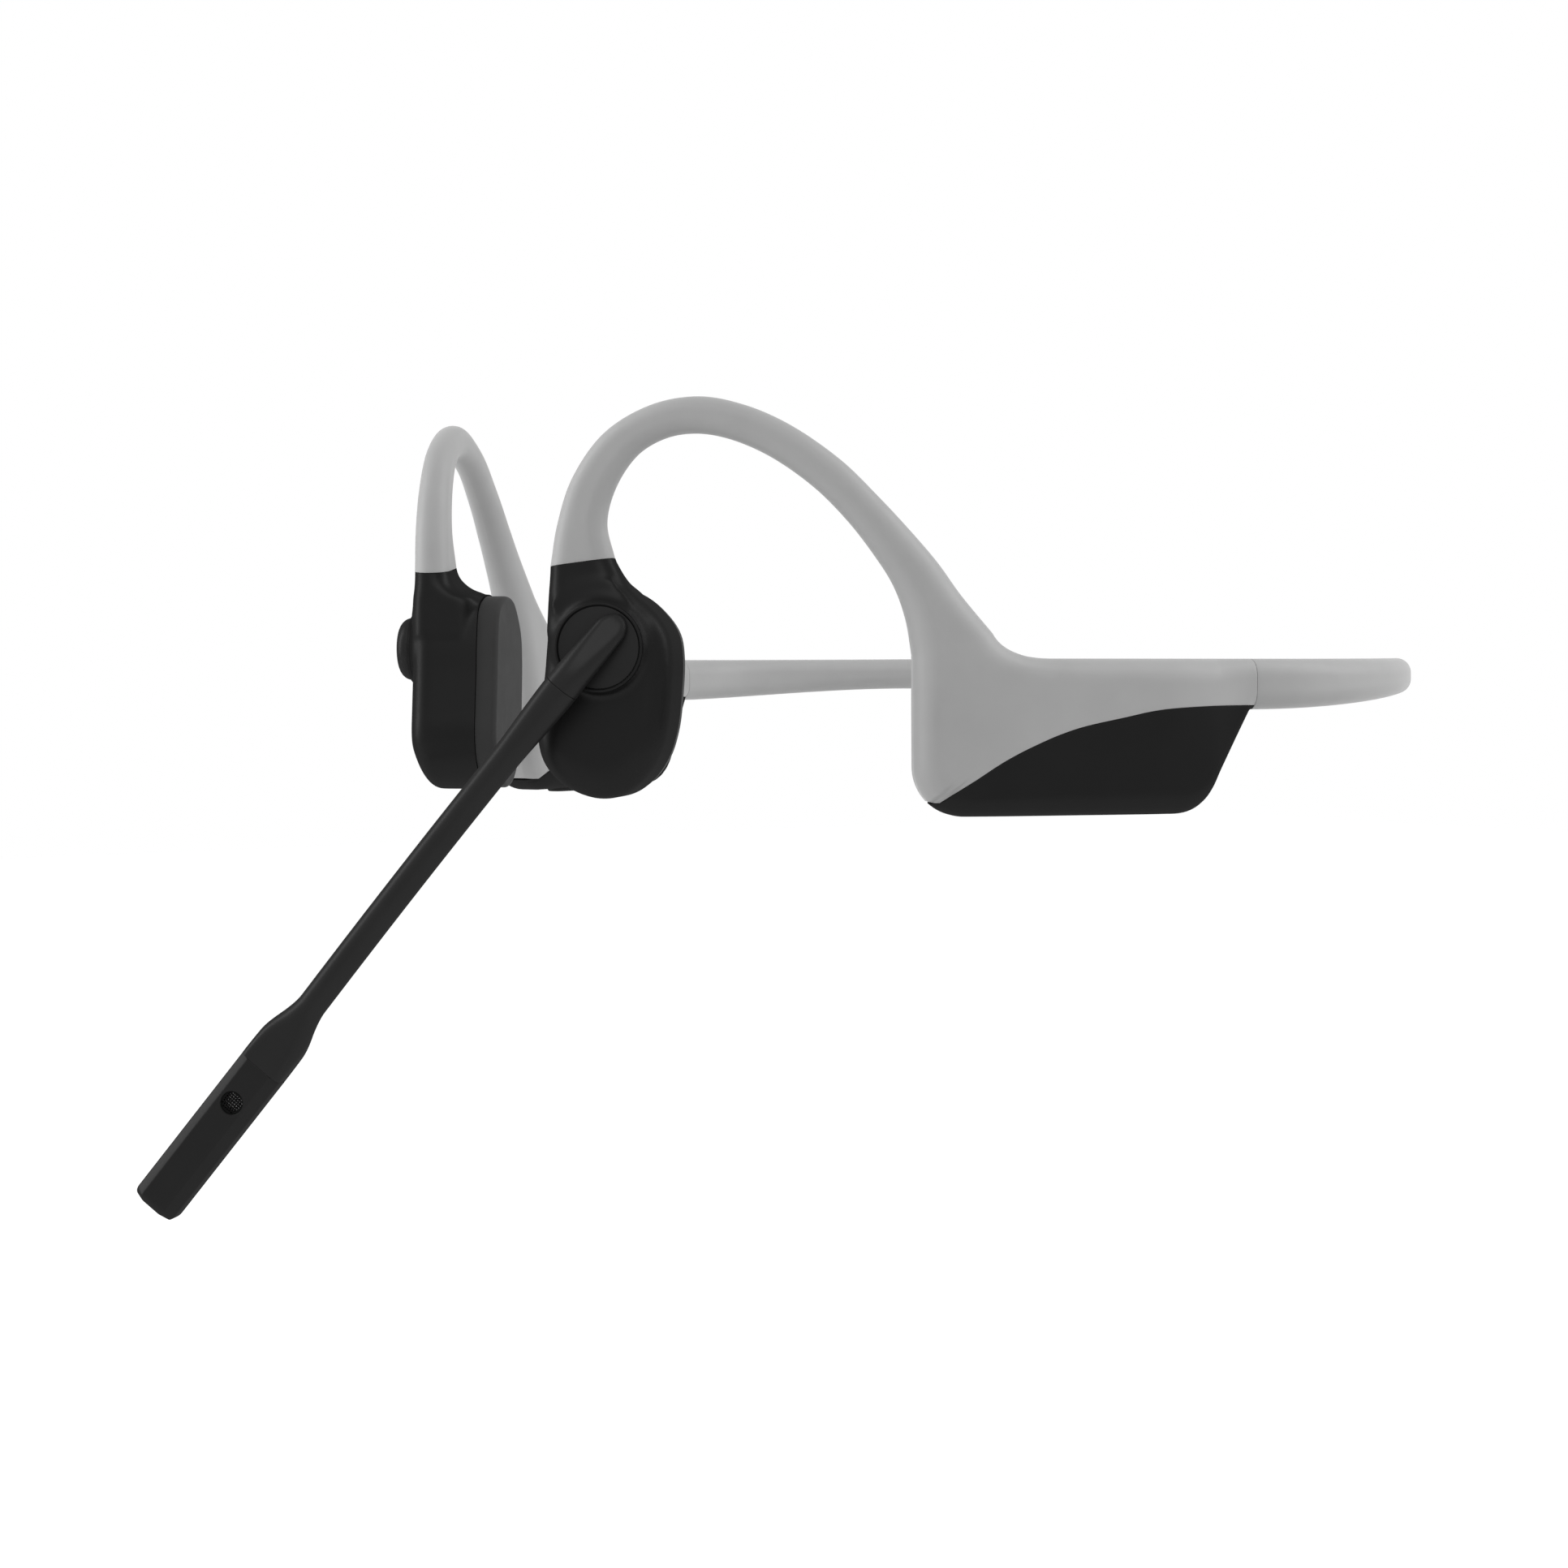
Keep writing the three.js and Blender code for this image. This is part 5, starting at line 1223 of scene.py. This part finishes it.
METAL = {"Metallic": 1}
LOOKS = {
    "grey_silicone": (152, 1.5, (0.55, 0.03), 0.3, 0.006, soft(0.4, 0.28, 0.35)),
    "black_shell": black(15, 0.4),
    "dark_trim": black(29, 0.38),
    "mic_black": black(23, 0.36),
    # near-black tone for the mic grille: painted shade of the recessed port, darker than the grille's
    # own slot colour
    "grille_black_painted_shade": (20, 1, (0.5, 0.03), 0.25, 0.003, {"Specular IOR Level": 0.02}),
    "soft_pad": (56, 1.5, (0.6, 0.03), 0.3, 0.005, soft(0.02, 0.07, 0.3)),
    "spring_steel": (168, 4, (0.3, 0.05), 0.5, 0.004, METAL),
    "copper": ((184, 115, 51), 4, (0.35, 0.05), 0.3, 0.006, METAL),
    "gold": ((212, 175, 97), 4, (0.3, 0.05), 0.4, 0.003, METAL),
    "magnet": (120, 3, (0.35, 0.05), 0.4, 0.003, METAL),
    "board_green": ((29, 90, 60), 3, (0.5, 0.08), 0.6, 0.01, {}),
    "foil": (185, 3, (0.35, 0.06), 0.8, 0.01, METAL),
    "clear_pipe": (217, 2, (0.2, 0.03), 0.5, 0.002, {"Transmission Weight": 0.6}),
}
MATERIALS = {name: material(name, *look) for name, look in LOOKS.items()}


def dress(obj, look):
    obj.data.materials.clear()
    obj.data.materials.append(MATERIALS[look])


slot_of = {row["node"]: row["material_slot"] for row in frame["record"]["subparts"]}
for node, obj in frame["nodes"].items():
    dress(obj, slot_of[node])


def use(obj, node, body="root", angle=SHARP_ANGLE, look=None):
    """Finishes a piece that stands for a CAD node"""
    obj.data.shade_smooth()
    obj.data.set_sharp_from_angle(angle=math.radians(angle))
    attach(obj, body)
    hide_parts(node)
    dress(obj, look or slot_of[node])


HALVES = [
    ("left", wrap, "battery_cover", HUB_RADIUS, HUB_COLLAR_RISE, SHAFT_RADIUS),
    ("right", right, "control_cover", BUTTON_RADIUS, BUTTON_COLLAR_RISE, BUTTON_SKIRT_RADIUS),
]
for prefix, place, cover, radius, rise, shaft in HALVES:
    use(arm_shell(f"{prefix}_arm_skin", place, sleeve_rings()), f"{prefix}_arm_sleeve")
    lid = arm_shell(f"{cover}_shell", place, cover_rings())
    if cover == "control_cover":
        minus(lid, *control_openings())
    use(lid, cover)
    use(pod_shell(prefix, place, radius, rise, shaft + STEM_HOLE_MARGIN), f"{prefix}_pod_shell")
    use(pod_pad(prefix, place), f"{prefix}_pod_pad")
for index, way in enumerate(("up", "down")):
    use(volume_button(f"volume_{way}_cap", index), f"volume_{way}_button", f"volume_{way}")
for index, pole in enumerate(("positive", "negative")):
    use(contact(f"contact_{pole}_pin", index), f"charging_contact_{pole}")
use(led_pipe(), "led_light_pipe")
use(neckband(), "neckband_sleeve")
use(boom_hub(), "boom_hub", "boom", HUB_SHARP_ANGLE)
use(boom_stem(), "boom_stem", "boom")
use(mic_head(), "mic_housing", "boom", MIC_SHARP_ANGLE, "mic_black")
# the grille takes a darker look than its slot, painted shade for the inside of the mic port
use(mic_grille(), "mic_grille", "boom", MIC_SHARP_ANGLE, "grille_black_painted_shade")
use(function_button(), "function_button", "function_button")


# Studio
FLOOR_LEVEL = -250
FLOOR_HALF = 3000
FLOOR_TONE = 235
FLOOR_GLOW = 0.6
SKY_LIGHT = 0.47


def seen_plainly(tree):
    """1 for what the camera sees, also reflected or through glass, and 0 for other light"""
    path = tree.nodes.new("ShaderNodeLightPath").outputs
    seen = path["Is Camera Ray"]
    for other in ("Is Glossy Ray", "Is Transmission Ray"):
        larger = added(tree, "ShaderNodeMath", {}, {0: seen, 1: path[other]}, operation="MAXIMUM")
        seen = larger.outputs["Value"]
    return seen


# The floor, seen as its plain colour with the part's shadow on it
points = [[*(FLOOR_HALF * corner), FLOOR_LEVEL] for corner in SQUARE]
floor = make("floor", np.array(points), [[0, 1, 2, 3]])
look = bpy.data.materials.new("floor_white")
tree, shader = opened(look, "Principled BSDF")
set_values(shader, {"Base Color": linear(FLOOR_TONE), "Roughness": 1, "Emission Color": WHITE})
glow = added(tree, "ShaderNodeMath", {1: FLOOR_GLOW}, {0: seen_plainly(tree)}, operation="MULTIPLY")
tree.links.new(glow.outputs["Value"], shader.inputs["Emission Strength"])
floor.data.materials.append(look)

world = bpy.data.worlds.new("studio")
bpy.context.scene.world = world
tree, background = opened(world, "Background")
strength = {"To Min": SKY_LIGHT, "To Max": 1}
level = added(tree, "ShaderNodeMapRange", strength, {"Value": seen_plainly(tree)})
set_values(background, {"Color": WHITE})
tree.links.new(level.outputs["Result"], background.inputs["Strength"])

# Lamps: place, size and power; all aim at the same point
LAMP_AIM = Vector((0, 40, -30))
LAMPS = {
    "left": ((-340, -470, 200), (180, 700), 3.1),
    "right": ((330, 450, 300), (180, 700), 2.5),
    "front": ((404, -293, 300), (400, 400), 1.3),
}
for name, (place, size, power) in LAMPS.items():
    lamp = bpy.data.lights.new(name, "AREA")
    lamp.shape = "RECTANGLE"
    lamp.size, lamp.size_y = (value * METRES for value in size)
    lamp.energy = power
    obj = linked(name, lamp)
    obj.location = Vector(place) * METRES
    obj.rotation_euler = (LAMP_AIM - Vector(place)).to_track_quat("-Z", "Y").to_euler()

# Camera, in metres
CAMERA_PLACE = (0.3695, -0.2315, -0.0303)
CAMERA_RIGHT = (0.5878, 0.8090, 0.0)
CAMERA_UP = (-0.0309, 0.0225, 0.9993)
CAMERA_LENS = 71.43
CAMERA_SENSOR = 36
CAMERA_CLIP = 0.01
camera = bpy.data.cameras.new("camera")
camera.lens = CAMERA_LENS
camera.sensor_width = CAMERA_SENSOR
camera.clip_start = CAMERA_CLIP
across = Vector(CAMERA_RIGHT).normalized()
back = across.cross(Vector(CAMERA_UP).normalized()).normalized()
turn = Matrix((across, back.cross(across), back)).transposed().to_4x4()
bpy.context.scene.camera = linked("camera", camera)
bpy.context.scene.camera.matrix_world = Matrix.Translation(CAMERA_PLACE) @ turn
bpy.context.scene.view_settings.view_transform = "Standard"
